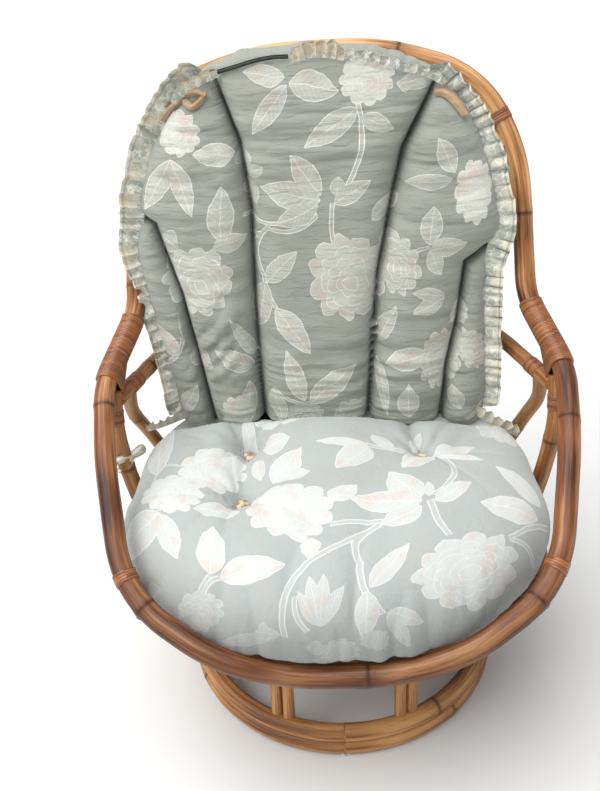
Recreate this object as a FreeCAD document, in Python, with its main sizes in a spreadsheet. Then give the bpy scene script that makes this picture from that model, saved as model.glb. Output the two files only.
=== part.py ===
"""Rattan swivel rocker armchair: round pole base, sprung turntable, hooped cane seat, two loose cushions.

Frame: millimetres, +Z up, the floor is Z = 0, -Y is the front, and the turntable's axis is the Z axis.
"""
import FreeCAD
import Part
import math
import os

import Sketcher

Vector = FreeCAD.Vector
Rotation = FreeCAD.Rotation
Placement = FreeCAD.Placement

# Driving dimensions, in millimetres.
SIZES = [
    ("pole_dia", 34.0, "main hoops"),
    ("strut_dia", 28.0, "side struts, seat ring and cross rails"),
    ("lumbar_dia", 26.0, "hoop behind the small of the back"),
    ("rear_strut_dia", 25.0, "rear struts"),
    ("arch_dia", 24.0, "arch under the crown, and the front posts"),
    ("spindle_dia", 14.0, "upright back spindles"),
    ("rod_dia", 12.0, "seat rods"),
    ("ring_dia", 31.0, "poles of the two base rings"),
    ("leg_dia", 20.0, "poles of the base arches"),
    ("ring_radius", 268.0, "base ring, centre line"),
    ("glide_height", 3.0, "floor to the underside of the lower ring"),
    ("glide_radius", 11.0, "nail-on floor glide"),
    ("arch_offset", 105.0, "middle of a pair of base arches from the centre"),
    ("arch_height", 186.0, "lower pairs of base arches, centre line of the top"),
    ("half_width", 376.0, "arm hoop at its widest, centre line"),
    ("front_reach", 365.0, "front of the arm hoop, centre line"),
    ("back_reach", 357.0, "crown of the back hoop, centre line"),
    ("front_height", 304.0, "arm hoop at the front"),
    ("arm_height", 587.0, "arm hoop at the armrests"),
    ("crown_height", 1023.0, "crown of the back hoop, centre line"),
    ("seat_ring_height", 300.0, "seat ring and cross rails, centre line"),
    ("rail_offset", 70.0, "cross rails, in front of and behind the axis"),
    ("lumbar_height", 548.0, "lumbar hoop, centre line"),
    ("lumbar_reach", 318.0, "lumbar hoop, furthest back"),
    ("wrap", 2.5, "thickness of a cane binding"),
    ("plate", 4.0, "thickness of the pressed steel parts"),
    ("base_plate_side", 250.0, "square plate on the base"),
    ("race_radius", 42.5, "ball circle of the turntable"),
    ("ball_radius", 3.0, "turntable balls"),
    ("ball_count", 16.0, "turntable balls"),
    ("pin_radius", 6.0, "rocker pivot pin"),
    ("king_radius", 7.0, "king pin"),
    ("pivot_height", 256.0, "rocker pivot pin above the floor"),
    ("spring_radius", 11.0, "rocker spring, middle of the wire"),
    ("spring_wire", 3.5, "rocker spring wire"),
    ("running_gap", 0.1, "clearance round a turning pin"),
    ("seat_cushion_height", 127.0, "seat cushion at its edge"),
    ("seat_cushion_base", 328.0, "underside of the seat cushion"),
    ("cushion_half_width", 290.0, "back cushion"),
]

ARC_SHARE = 0.48  # how much of the shorter run beside a corner its arc takes up
BASE_ARC_SHARE = 0.42  # the same for the base arches
BOLT_RADIUS = 3.0  # M6 shanks
BOLT_HOLE = 3.3  # radius of the clearance holes for them
BOLT_HEAD = 4.0  # height of a bolt head
NUT_HEIGHT = 5.0
BOLT_SPILL = 6.0  # how far a shank stands out past its nut's seat
HEX_ACROSS = 10.0  # across the flats of an M6 head or nut
BASE_BOLTS = [(x, y) for x in (-70.0, 70.0) for y in (-115.0, 115.0)]
BRACKET_BOLT_X = 62.0  # bracket bolts, to each side of the middle
EAR_WIDTH = 40.0  # front to back
YOKE_FLOOR = (140.0, 160.0)  # across, front to back
YOKE_EARS = 52.0  # inner faces, from the middle
BRACKET_TOP = (150.0, 190.0)
BRACKET_EARS = 57.0
PIN_LENGTH = 136.0
CLIP_WALL = 4.0
SPRING_PLACE = (30.0, 62.0)  # across and front to back, from the middle
SPRING_TURNS = 5
GLIDE_COUNT = 6
ROD_COUNT = 7
SPINDLE_COUNT = 5
UPRIGHT_PITCH = 80.0  # between rods, and between spindles

doc = FreeCAD.newDocument("swivel_armchair")
sheet = doc.addObject("Spreadsheet::Sheet", "Sizes")
for row, (alias, value, note) in enumerate(SIZES, start=1):
    sheet.set(f"A{row}", alias)
    sheet.set(f"B{row}", str(value))
    sheet.set(f"C{row}", note)
    sheet.setAlias(f"B{row}", alias)
doc.recompute()

nodes = {}


def size(alias):
    """A driving dimension, in millimetres."""
    return float(sheet.get(alias))


def keep(label, obj):
    """Names a sub-part."""
    obj.Label = label
    nodes[label] = obj
    return obj


def bind(obj, **expressions):
    """Binds properties to the sheet. Two underscores stand for the dot in a path."""
    for path, expression in expressions.items():
        obj.setExpression(path.replace("__", "."), str(expression))
    return obj


def feature(label, shape):
    """A sub-part whose shape is worked out here."""
    obj = doc.addObject("Part::Feature", label)
    obj.Shape = shape
    obj.Placement = Placement()
    return keep(label, obj)


def shape_of(label):
    return nodes[label].Shape


def mirrored(point):
    return (-point[0], point[1], point[2])


# --- poles -------------------------------------------------------------------------------------


def path_edges(points, share=ARC_SHARE, closed=False):
    """Straight runs joined by tangent arcs, along the given corners."""
    corners = [Vector(*p) for p in points]
    count = len(corners)
    turning = range(count) if closed else range(1, count - 1)
    arcs = {}
    for i in turning:
        here = corners[i]
        back = corners[i - 1] - here
        ahead = corners[(i + 1) % count] - here
        ease = share * min(back.Length, ahead.Length)
        if back.getAngle(ahead * -1.0) < 1e-3:
            continue
        start = here + back.normalize() * ease
        end = here + ahead.normalize() * ease
        half = back.getAngle(ahead) / 2.0
        inward = (back + ahead).normalize()
        middle = here + inward * (ease / math.cos(half) - ease * math.tan(half))
        arcs[i] = (start, middle, end)
    edges = []
    cursor = arcs[0][2] if closed else corners[0]
    for i in list(range(1, count)) + ([0] if closed else []):
        target = arcs[i][0] if i in arcs else corners[i]
        if (target - cursor).Length > 1e-3:
            edges.append(Part.LineSegment(cursor, target).toShape())
        cursor = target
        if i in arcs:
            edges.append(Part.Arc(*arcs[i]).toShape())
            cursor = arcs[i][2]
    return edges


def tube(edges, radius):
    """A solid round pole along a chain of edges."""
    wire = Part.Wire(edges)
    first = wire.Edges[0]
    start = first.valueAt(first.FirstParameter)
    along = first.tangentAt(first.FirstParameter)
    circle = Part.makeCircle(radius, start, along)
    solid = wire.makePipeShell([Part.Wire(circle)], True, False)
    if solid.Volume < 0:
        solid.reverse()
    return solid


def pole(points, diameter, closed=False):
    return tube(path_edges(points, closed=closed), diameter / 2.0)


def trimmed(solid, *others):
    """A pole's end coped to the pieces it meets: the largest piece left after the cut."""
    cut = solid.cut(Part.makeCompound(list(others)))
    return max(cut.Solids, key=lambda piece: piece.Volume)


def reflected(shape):
    return shape.mirror(Vector(0, 0, 0), Vector(1, 0, 0))


def both_sides(name, right):
    """Keeps a right-hand piece, and its mirror image on the left."""
    feature(f"{name}_right", right)
    feature(f"{name}_left", reflected(right))


def pair_of(name, right):
    """Keeps a right-hand piece and its mirror image as one node."""
    feature(name, Part.makeCompound([right, reflected(right)]))


# --- base --------------------------------------------------------------------------------------


def make_base_rings():
    """Two round poles bent into rings and stacked."""
    for name, level in (("base_ring_lower", 0.5), ("base_ring_upper", 1.5)):
        ring = doc.addObject("Part::Torus", name)
        bind(
            ring,
            Radius1="Sizes.ring_radius",
            Radius2="Sizes.ring_dia / 2",
            Placement__Base__z=f"Sizes.glide_height + {level} * Sizes.ring_dia",
        )
        keep(name, ring)


def make_glides():
    """Six nail-on glides under the lower ring, cupped to the pole."""
    radius = size("ring_radius")
    ring = shape_of("base_ring_lower")
    depth = size("glide_height") + size("glide_radius") / 4.0
    glides = []
    for k in range(GLIDE_COUNT):
        angle = math.radians(360.0 / GLIDE_COUNT * (k + 0.5))
        at = Vector(radius * math.cos(angle), radius * math.sin(angle), 0)
        disc = Part.makeCylinder(size("glide_radius"), depth, at)
        glides.append(disc.cut(ring))
    feature("floor_glides", Part.makeCompound([s for g in glides for s in g.Solids]))


def base_arch(offset, level):
    """One pole bent into a flat arch from the front of the upper ring to its back."""
    radius = size("ring_radius")
    foot = math.sqrt(radius**2 - offset**2) - 6.0
    foot_level = size("glide_height") + 1.5 * size("ring_dia")
    shoulder = foot - 26.0
    points = [
        (offset, -foot, foot_level),
        (offset, -shoulder, level),
        (offset, 0.0, level),
        (offset, shoulder, level),
        (offset, foot, foot_level),
    ]
    arch = tube(path_edges(points, share=BASE_ARC_SHARE), size("leg_dia") / 2.0)
    return trimmed(arch, shape_of("base_ring_upper"))


def make_base_arches():
    """Two pairs of arches run front to back, and two pairs lie across them."""
    low = size("arch_height")
    high = low + size("leg_dia")
    half = size("leg_dia") / 2.0
    bolt_holes = [
        Part.makeCylinder(BOLT_HOLE, 4 * size("leg_dia"), Vector(x, y, low - size("leg_dia")))
        for x, y in BASE_BOLTS
    ]
    for side, sign in (("left", -1), ("right", 1)):
        for place, step in (("inner", -half), ("outer", half)):
            offset = sign * (size("arch_offset") + step)
            feature(f"base_arch_{side}_{place}", base_arch(offset, low))
    turn = Rotation(Vector(0, 0, 1), 90)
    for side, sign in (("front", -1), ("rear", 1)):
        for place, step in (("inner", -half), ("outer", half)):
            offset = sign * (size("arch_offset") + step)
            arch = base_arch(offset, high).transformGeometry(Placement(Vector(), turn).toMatrix())
            feature(f"base_arch_{side}_{place}", trimmed(arch, *bolt_holes))


def attach(sketch, body, role, lift=None):
    """Puts a sketch on one of its body's origin planes, raised along the plane's normal."""
    plane = next(f for f in body.Origin.OriginFeatures if f.Role == role)
    sketch.AttachmentSupport = [(plane, "")]
    sketch.MapMode = "FlatFace"
    if lift is not None:
        sketch.setExpression("AttachmentOffset.Base.z", lift)


def circle(sketch, radius_expression, x=0.0, y=0.0):
    """A circle whose radius is bound to the sheet."""
    index = sketch.addGeometry(Part.Circle(Vector(x, y, 0), Vector(0, 0, 1), 5.0))
    radius = sketch.addConstraint(Sketcher.Constraint("Radius", index, 5.0))
    sketch.setExpression(f"Constraints[{radius}]", str(radius_expression))
    if x == 0.0 and y == 0.0:
        sketch.addConstraint(Sketcher.Constraint("Coincident", index, 3, -1, 1))
    else:
        sketch.addConstraint(Sketcher.Constraint("DistanceX", -1, 1, index, 3, x))
        sketch.addConstraint(Sketcher.Constraint("DistanceY", -1, 1, index, 3, y))
    return index


def rectangle(sketch, width_expression, height_expression):
    """A rectangle about the sketch's origin."""
    corners = [Vector(-9, -8, 0), Vector(9, -8, 0), Vector(9, 8, 0), Vector(-9, 8, 0)]
    first = sketch.GeometryCount
    for k in range(4):
        sketch.addGeometry(Part.LineSegment(corners[k], corners[(k + 1) % 4]))
    for k in range(4):
        following = first + (k + 1) % 4
        sketch.addConstraint(Sketcher.Constraint("Coincident", first + k, 2, following, 1))
    for k in (0, 2):
        sketch.addConstraint(Sketcher.Constraint("Horizontal", first + k))
        sketch.addConstraint(Sketcher.Constraint("Vertical", first + k + 1))
    sketch.addConstraint(Sketcher.Constraint("Symmetric", first, 1, first + 1, 2, -1, 1))
    width = sketch.addConstraint(Sketcher.Constraint("DistanceX", first, 1, first, 2, 18.0))
    height = sketch.addConstraint(Sketcher.Constraint("DistanceY", first + 1, 1, first + 1, 2, 16.0))
    sketch.setExpression(f"Constraints[{width}]", width_expression)
    sketch.setExpression(f"Constraints[{height}]", height_expression)


def padded_body(label, draw, thickness, level):
    """A flat piece: a sketch padded upwards from a level."""
    body = doc.addObject("PartDesign::Body", label)
    sketch = body.newObject("Sketcher::SketchObject", f"{label}_outline")
    attach(sketch, body, "XY_Plane")
    draw(sketch)
    pad = body.newObject("PartDesign::Pad", f"{label}_pad")
    pad.Profile = sketch
    pad.setExpression("Length", thickness)
    body.setExpression("Placement.Base.z", level)
    return keep(label, body)


def make_base_plate():
    """The square plate that the turntable stands on, bolted to the cross arches."""

    def draw(sketch):
        rectangle(sketch, "Sizes.base_plate_side", "Sizes.base_plate_side")
        circle(sketch, "Sizes.king_radius")
        for x, y in BASE_BOLTS:
            circle(sketch, BOLT_HOLE, x, y)

    level = "Sizes.arch_height + 1.5 * Sizes.leg_dia"
    padded_body("swivel_base_plate", draw, "Sizes.plate", level)


def hexagon(across, height, at):
    """A hexagonal prism, for bolt heads and nuts."""
    radius = across / math.sqrt(3.0)
    angles = [math.radians(60 * k) for k in range(7)]
    corners = [at + Vector(radius * math.cos(a), radius * math.sin(a), 0) for a in angles]
    return Part.Face(Part.makePolygon(corners)).extrude(Vector(0, 0, height))


def bolt_up(x, y, bottom, top):
    """A plain M6 bolt with its head on top, and its nut below as a second solid."""
    head = hexagon(HEX_ACROSS, BOLT_HEAD, Vector(x, y, top))
    low = bottom - BOLT_SPILL
    shank = Part.makeCylinder(BOLT_RADIUS, top - low, Vector(x, y, low))
    nut = hexagon(HEX_ACROSS, NUT_HEIGHT, Vector(x, y, bottom - NUT_HEIGHT)).cut(shank)
    return head.fuse(shank).removeSplitter(), nut


def make_bolts(prefix, places, bottom, top):
    pairs = [bolt_up(x, y, bottom, top) for x, y in places]
    feature(f"{prefix}_bolts", Part.makeCompound([solid for pair in pairs for solid in pair]))


def make_base_fixings():
    underside = size("arch_height") + size("leg_dia") / 2.0
    top = size("arch_height") + 1.5 * size("leg_dia") + size("plate")
    make_bolts("base_plate", BASE_BOLTS, underside, top)


# --- turntable ---------------------------------------------------------------------------------


def race(label, level, ball_level):
    """A flat ring with a groove for the balls."""
    ring = Part.makeCylinder(size("race_radius") + 8, size("plate"), Vector(0, 0, level))
    hole = Part.makeCylinder(size("race_radius") - 10, size("plate"), Vector(0, 0, level))
    groove = Part.makeTorus(size("race_radius"), size("ball_radius") + 0.1, Vector(0, 0, ball_level))
    feature(label, ring.cut(hole).cut(groove))


def make_turntable():
    """Two grooved races with a caged ring of balls between them, on a king pin."""
    floor = size("arch_height") + 1.5 * size("leg_dia") + size("plate")
    plate = size("plate")
    ball_level = floor + plate + 1.0
    race("bearing_race_lower", floor, ball_level)
    race("bearing_race_upper", floor + plate + 2.0, ball_level)
    count = int(size("ball_count"))
    places = [
        Vector(size("race_radius") * math.cos(a), size("race_radius") * math.sin(a), ball_level)
        for a in (2 * math.pi * k / count for k in range(count))
    ]
    balls = [Part.makeSphere(size("ball_radius"), p) for p in places]
    feature("bearing_balls", Part.makeCompound(balls))
    cage = Part.makeCylinder(size("race_radius") + 6, 0.8, Vector(0, 0, ball_level - 0.4))
    cage = cage.cut(Part.makeCylinder(size("race_radius") - 6, 0.8, Vector(0, 0, ball_level - 0.4)))
    for place in places:
        cage = cage.cut(Part.makeCylinder(size("ball_radius") + 0.1, 2, place - Vector(0, 0, 1)))
    feature("bearing_cage", cage)

    under = floor - plate
    king = size("king_radius")
    head = Part.makeCylinder(king + 6, 4, Vector(0, 0, under - 4))
    shank = Part.makeCylinder(king, 34, Vector(0, 0, under - 4))
    feature("king_pin", head.fuse(shank).removeSplitter())
    yoke_top = floor + 2 * plate + 2.0 + plate
    washer = Part.makeCylinder(king + 6, 1.6, Vector(0, 0, yoke_top + size("running_gap")))
    nut = hexagon(22.0, 7.0, Vector(0, 0, yoke_top + size("running_gap") + 1.6))
    feature("king_nut", washer.fuse(nut).cut(shank).removeSplitter())


def plate_box(name, extent, level):
    """A plate of the pressed steel's thickness, centred on the axis."""
    across, deep = extent
    return primitive_box(name, across, deep, "Sizes.plate", -across / 2, -deep / 2, level)


def primitive_box(name, length, width, height, x, y, z):
    """A box whose size and place are expressions on the sheet."""
    box = doc.addObject("Part::Box", name)
    bind(box, Length=length, Width=width, Height=height)
    bind(box, Placement__Base__x=x, Placement__Base__y=y, Placement__Base__z=z)
    return box


def cross_bore(name, radius, length):
    """A cylinder along the rocker pivot, to bore a pair of ears or to be the pin."""
    bore = doc.addObject("Part::Cylinder", name)
    bore.Placement = Placement(Vector(0, 0, 0), Rotation(Vector(0, 1, 0), 90))
    bind(bore, Radius=radius, Height=length)
    bind(bore, Placement__Base__x=f"-({length}) / 2", Placement__Base__z="Sizes.pivot_height")
    return bore


def boolean(kind, name, base, tool):
    obj = doc.addObject(f"Part::{kind}", name)
    if kind == "MultiFuse":
        obj.Shapes = [base] + list(tool)
    else:
        obj.Base = base
        obj.Tool = tool
    return obj


YOKE_LEVEL = "Sizes.arch_height + 1.5 * Sizes.leg_dia + 3 * Sizes.plate + 2"
BRACKET_LEVEL = "Sizes.seat_ring_height - Sizes.strut_dia / 2 - Sizes.plate"


def ears(prefix, inner_x, bottom, top):
    """A pair of upright ears with their inner faces at inner_x from the middle."""
    pair = []
    for side, x in (("left", f"-({inner_x}) - Sizes.plate"), ("right", inner_x)):
        pair.append(
            primitive_box(
                f"{prefix}_ear_{side}",
                "Sizes.plate",
                EAR_WIDTH,
                f"({top}) - ({bottom})",
                x,
                -EAR_WIDTH / 2,
                bottom,
            )
        )
    return pair


def bracket_bolt_places():
    """Two bolts through each cross rail."""
    rail = size("rail_offset")
    return [(x, y) for x in (-BRACKET_BOLT_X, BRACKET_BOLT_X) for y in (-rail, rail)]


def make_rocker():
    """The yoke that turns on the balls, the bracket under the seat, and the pin that joins them."""
    floor = plate_box("yoke_floor", YOKE_FLOOR, YOKE_LEVEL)
    yoke_ears = ears("yoke", YOKE_EARS, YOKE_LEVEL, "Sizes.pivot_height + 14")
    yoke = boolean("MultiFuse", "yoke_blank", floor, yoke_ears)
    centre = doc.addObject("Part::Cylinder", "yoke_centre")
    bind(centre, Radius="Sizes.king_radius + Sizes.running_gap", Height="20")
    bind(centre, Placement__Base__z=f"{YOKE_LEVEL} - 8")
    yoke = boolean("Cut", "yoke_centred", yoke, centre)
    yoke_bore = cross_bore("yoke_bore", "Sizes.pin_radius", PIN_LENGTH)
    keep("rocker_yoke", boolean("Cut", "yoke_bored", yoke, yoke_bore))

    top = plate_box("bracket_top", BRACKET_TOP, BRACKET_LEVEL)
    bracket_ears = ears("bracket", BRACKET_EARS, "Sizes.pivot_height - 12", BRACKET_LEVEL)
    bracket = boolean("MultiFuse", "bracket_blank", top, bracket_ears)
    bore = cross_bore("bracket_bore", "Sizes.pin_radius + Sizes.running_gap", PIN_LENGTH)
    bracket = boolean("Cut", "bracket_bored", bracket, bore)
    for k, (x, y) in enumerate(bracket_bolt_places()):
        drill = doc.addObject("Part::Cylinder", f"bracket_drill_{k}")
        bind(drill, Radius=BOLT_HOLE, Height="5 * Sizes.plate")
        bind(drill, Placement__Base__x=x, Placement__Base__y=y)
        bind(drill, Placement__Base__z=f"{BRACKET_LEVEL} - 8")
        bracket = boolean("Cut", f"bracket_drilled_{k}", bracket, drill)
    keep("seat_bracket", bracket)
    keep("pivot_pin", cross_bore("pivot_pin_round", "Sizes.pin_radius", PIN_LENGTH))


def make_pivot_clips():
    """Push-on caps that hold the pivot pin endways."""
    clips = []
    beyond_ear = BRACKET_EARS + size("plate") + 1.0
    for x in (-beyond_ear - CLIP_WALL, beyond_ear):
        at = Vector(x, 0, size("pivot_height"))
        outer = Part.makeCylinder(size("pin_radius") + CLIP_WALL, CLIP_WALL, at, Vector(1, 0, 0))
        inner = Part.makeCylinder(size("pin_radius"), CLIP_WALL, at, Vector(1, 0, 0))
        clips.append(outer.cut(inner))
    feature("pivot_clips", Part.makeCompound(clips))


def make_springs():
    """Four coil springs between the yoke and the bracket, two in front of the pin and two behind."""
    low = size("arch_height") + 1.5 * size("leg_dia") + 4 * size("plate") + 2.0
    high = size("seat_ring_height") - size("strut_dia") / 2 - size("plate")
    wire = size("spring_wire")
    height = high - low - wire
    spring = Part.makeHelix(height / SPRING_TURNS, height, size("spring_radius"))
    start = Vector(size("spring_radius"), 0, 0)
    profile = Part.Wire(Part.makeCircle(wire / 2, start, Vector(0, 1, 0)))
    coil = Part.Wire(spring).makePipeShell([profile], True, True)
    across, deep = SPRING_PLACE
    for name, y in (("front", -deep), ("rear", deep)):
        pair = []
        for x in (-across, across):
            copy = coil.copy()
            copy.translate(Vector(x, y, low + wire / 2))
            pair.append(copy)
        feature(f"rocker_springs_{name}", Part.makeCompound(pair))


# --- seat frame --------------------------------------------------------------------------------


def splice_points():
    """Where the run of the arm hoop becomes the run of the back hoop, on the right."""
    low = (size("half_width"), 8.0, size("arm_height"))
    high = (size("half_width") - 42.0, 142.0, size("arm_height") + 64.0)
    middle = tuple((a + b) / 2.0 for a, b in zip(low, high))
    return low, middle, high


def front_hoop_half():
    """Corners of the arm hoop from its front to the splice, on the right."""
    low, middle, _ = splice_points()
    reach = size("front_reach")
    wide = size("half_width")
    front = size("front_height")
    return [
        (74.0, -reach, front),
        (180.0, -reach - 1.0, front + 40.0),
        (wide - 53.0, -reach + 82.0, front + 91.0),
        (wide - 14.0, -reach + 254.0, size("arm_height") - 53.0),
        low,
        middle,
    ]


def back_hoop_half():
    """Corners of the back hoop from its crown to the splice, on the right."""
    _, middle, high = splice_points()
    reach = size("back_reach")
    crown = size("crown_height")
    return [
        (109.0, reach, crown),
        (260.0, reach - 58.0, crown - 41.0),
        (326.0, reach - 111.0, crown - 159.0),
        high,
        middle,
    ]


def whole_hoop(half):
    return [mirrored(p) for p in reversed(half)] + half


def inner_arch_points():
    """The arch that doubles the crown, one pole's width inside the back hoop."""
    crown = size("crown_height")
    reach = size("back_reach")
    half = [
        (104.0, reach - 7.0, crown - 29.0),
        (238.0, reach - 60.0, crown - 66.0),
        (291.0, reach - 112.0, crown - 150.0),
    ]
    return whole_hoop(half)


RING_SIDE = 336.0  # the seat ring's straight sides, from the middle
RING_CORNERS = [(150.0, -333.0), (RING_SIDE, -200.0), (RING_SIDE, 130.0), (190.0, 300.0)]


def seat_ring_points():
    """The closed ring under the cushion, from the middle of its front, anticlockwise from above."""
    level = size("seat_ring_height")
    left = [(-x, y) for x, y in reversed(RING_CORNERS)]
    return [(x, y, level) for x, y in RING_CORNERS + left]


def lumbar_points():
    level = size("lumbar_height")
    reach = size("lumbar_reach")
    half = [(236.0, reach, level), (302.0, 196.0, level), (362.0, 24.0, level)]
    return whole_hoop(half)


def side_strut_points():
    """The right side strut, from the shoulder down to the seat ring."""
    return [(368.0, 24.0, 566.0), (372.0, 8.0, 490.0), (360.0, 5.0, 390.0), (340.0, 3.0, 302.0)]


def rear_strut_points():
    """The right rear strut, from the end of the lumbar hoop down to the seat ring."""
    return [
        (350.0, 58.0, 546.0),
        (363.0, 98.0, 474.0),
        (352.0, 132.0, 418.0),
        (338.0, 152.0, 368.0),
        (316.0, 168.0, 300.0),
    ]


def make_seat_frame():
    """The poles of the seat, each coped to the ones it meets."""
    main = size("pole_dia")
    strut = size("strut_dia")
    feature("front_hoop", pole(whole_hoop(front_hoop_half()), main))
    feature("back_hoop", pole(whole_hoop(back_hoop_half()), main))
    feature("seat_ring", pole(seat_ring_points(), strut, closed=True))
    hoops = (shape_of("front_hoop"), shape_of("back_hoop"))
    ring = shape_of("seat_ring")

    both_sides("side_strut", trimmed(pole(side_strut_points(), strut), *hoops, ring))
    struts = (shape_of("side_strut_left"), shape_of("side_strut_right"))
    lumbar = trimmed(pole(lumbar_points(), size("lumbar_dia")), *hoops, *struts)
    feature("lumbar_hoop", lumbar)
    rear = pole(rear_strut_points(), size("rear_strut_dia"))
    both_sides("rear_strut", trimmed(rear, *hoops, ring, *struts, lumbar))
    feature("back_inner_arch", trimmed(pole(inner_arch_points(), size("arch_dia")), *hoops))

    level = size("seat_ring_height")
    post = [(316.0, -226.0, level), (309.0, -270.0, level + 106.0)]
    both_sides("front_post", trimmed(pole(post, size("arch_dia")), *hoops, ring))


def make_cross_rails():
    """Two rails across the seat ring, which the bracket is bolted to."""
    level = size("seat_ring_height")
    strut = size("strut_dia")
    drills = [
        Part.makeCylinder(BOLT_HOLE, 2 * strut, Vector(x, y, level - strut))
        for x, y in bracket_bolt_places()
    ]
    for name, sign in (("front", -1), ("rear", 1)):
        y = sign * size("rail_offset")
        rail = pole([(-RING_SIDE, y, level), (RING_SIDE, y, level)], strut)
        feature(f"cross_rail_{name}", trimmed(rail, shape_of("seat_ring"), *drills))
    make_bolts("seat_bracket", bracket_bolt_places(), level - strut / 2 - size("plate"), level + strut / 2)


def seat_ring_reach(y):
    """Half the width of the seat ring at a distance y behind the axis."""
    for (x0, y0), (x1, y1) in zip(RING_CORNERS, RING_CORNERS[1:]):
        if y0 <= y <= y1:
            return x0 + (x1 - x0) * (y - y0) / (y1 - y0)
    raise ValueError(f"no side of the seat ring at {y}")


def make_seat_rods():
    """Seven thin rods lie across the seat ring and carry the cushion."""
    level = size("seat_ring_height") + (size("strut_dia") + size("rod_dia")) / 2
    for k in range(ROD_COUNT):
        y = -270.0 + UPRIGHT_PITCH * k
        reach = seat_ring_reach(y)
        rod = pole([(-reach, y, level), (reach, y, level)], size("rod_dia"))
        feature(f"seat_rod_{k + 1}", rod)


def make_back_spindles():
    """Five spindles rise from the back of the seat ring, in front of the lumbar hoop, to the arch."""
    foot = size("seat_ring_height")
    reach = size("lumbar_reach")
    front = reach - (size("lumbar_dia") + size("spindle_dia")) / 2
    crown = size("crown_height")
    arch = (shape_of("seat_ring"), shape_of("back_inner_arch"), shape_of("lumbar_hoop"))
    for k in range(SPINDLE_COUNT):
        x = UPRIGHT_PITCH * (k - (SPINDLE_COUNT - 1) / 2)
        drop = max(0.0, abs(x) - 104.0) / 133.0
        top = (x, size("back_reach") - 7.0 - 53.0 * drop, crown - 29.0 - 38.0 * drop)
        points = [(x, 298.0, foot + 4.0), (x, front - 0.5, size("lumbar_height")), top]
        spindle = pole(points, size("spindle_dia"))
        feature(f"back_spindle_{k + 1}", trimmed(spindle, *arch))


# --- bindings ----------------------------------------------------------------------------------


def half_edge(edge, start_share, end_share):
    """Part of an edge, between two shares of its length."""
    span = edge.LastParameter - edge.FirstParameter
    low = edge.FirstParameter + span * start_share
    return edge.Curve.toShape(low, edge.FirstParameter + span * end_share)


def make_shoulder_bindings():
    """Long cane wrappings over the splices of the two hoops."""
    arm = path_edges(whole_hoop(front_hoop_half()))
    back = path_edges(whole_hoop(back_hoop_half()))
    edges = [half_edge(arm[-2], 0.5, 1.0), arm[-1], back[-1], half_edge(back[-2], 0.0, 0.5)]
    names = ("front_hoop", "back_hoop", "side_strut_right", "rear_strut_right", "lumbar_hoop")
    sleeve = tube(Part.sortEdges(edges)[0], size("pole_dia") / 2.0 + size("wrap"))
    both_sides("shoulder_binding", trimmed(sleeve, *[shape_of(n) for n in names]))


def cuff(low, high, share, length, diameter):
    """A solid round cuff about a straight run from low to high, centred on a share of the run."""
    start = Vector(*low)
    run = Vector(*high) - start
    along = Vector(run).normalize()
    foot = start + run * share - along * (length / 2.0)
    return Part.makeCylinder(diameter / 2.0 + size("wrap"), length, foot, along)


def make_small_bindings():
    """Short cane wrappings where the struts, the lumbar hoop, the posts and the arch are tied."""
    frame = ["front_hoop", "back_hoop", "side_strut_right", "rear_strut_right", "lumbar_hoop"]
    blockers = [shape_of(n) for n in frame + ["shoulder_binding_right", "front_post_right"]]
    strut = side_strut_points()
    strut_cuff = trimmed(cuff(strut[0], strut[1], 0.62, 22.0, size("strut_dia")), *blockers)
    pair_of("strut_bindings", strut_cuff)
    lumbar = lumbar_points()
    lumbar_cuff = cuff(lumbar[-1], lumbar[-2], 0.3, 30.0, size("lumbar_dia"))
    pair_of("lumbar_bindings", trimmed(lumbar_cuff, *blockers, strut_cuff))
    arm = front_hoop_half()
    pair_of("front_bindings", trimmed(cuff(arm[2], arm[3], 0.1, 15.0, size("pole_dia")), *blockers))
    crown = back_hoop_half()
    arch = inner_arch_points()[-3:]
    hoop_cuff = cuff(crown[2], crown[1], 0.5, 15.0, size("pole_dia"))
    arch_cuff = cuff(arch[2], arch[1], 0.5, 15.0, size("arch_dia"))
    both = hoop_cuff.fuse(arch_cuff)
    pair_of("arch_bindings", trimmed(both, shape_of("back_hoop"), shape_of("back_inner_arch")))


# --- cushions ----------------------------------------------------------------------------------


def rounded_outline(corners, share=0.45):
    return Part.Wire(path_edges(corners, share=share, closed=True))


def make_seat_cushion():
    """A thick round-cornered cushion that fills the hoop."""
    level = size("seat_cushion_base")
    height = size("seat_cushion_height")
    right = [(95, -342), (262, -300), (322, -170), (322, 40), (262, 200), (90, 235)]
    left = [(-x, y) for x, y in reversed(right)]
    wire = rounded_outline([(x, y, level) for x, y in right + left])
    solid = Part.Face(wire).extrude(Vector(0, 0, height))
    middle = level + height / 2
    rims = [e for e in solid.Edges if abs(abs(e.CenterOfMass.z - middle) - height / 2) < 1e-3]
    feature("seat_cushion", solid.makeFillet(height * 0.3, rims))


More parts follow.
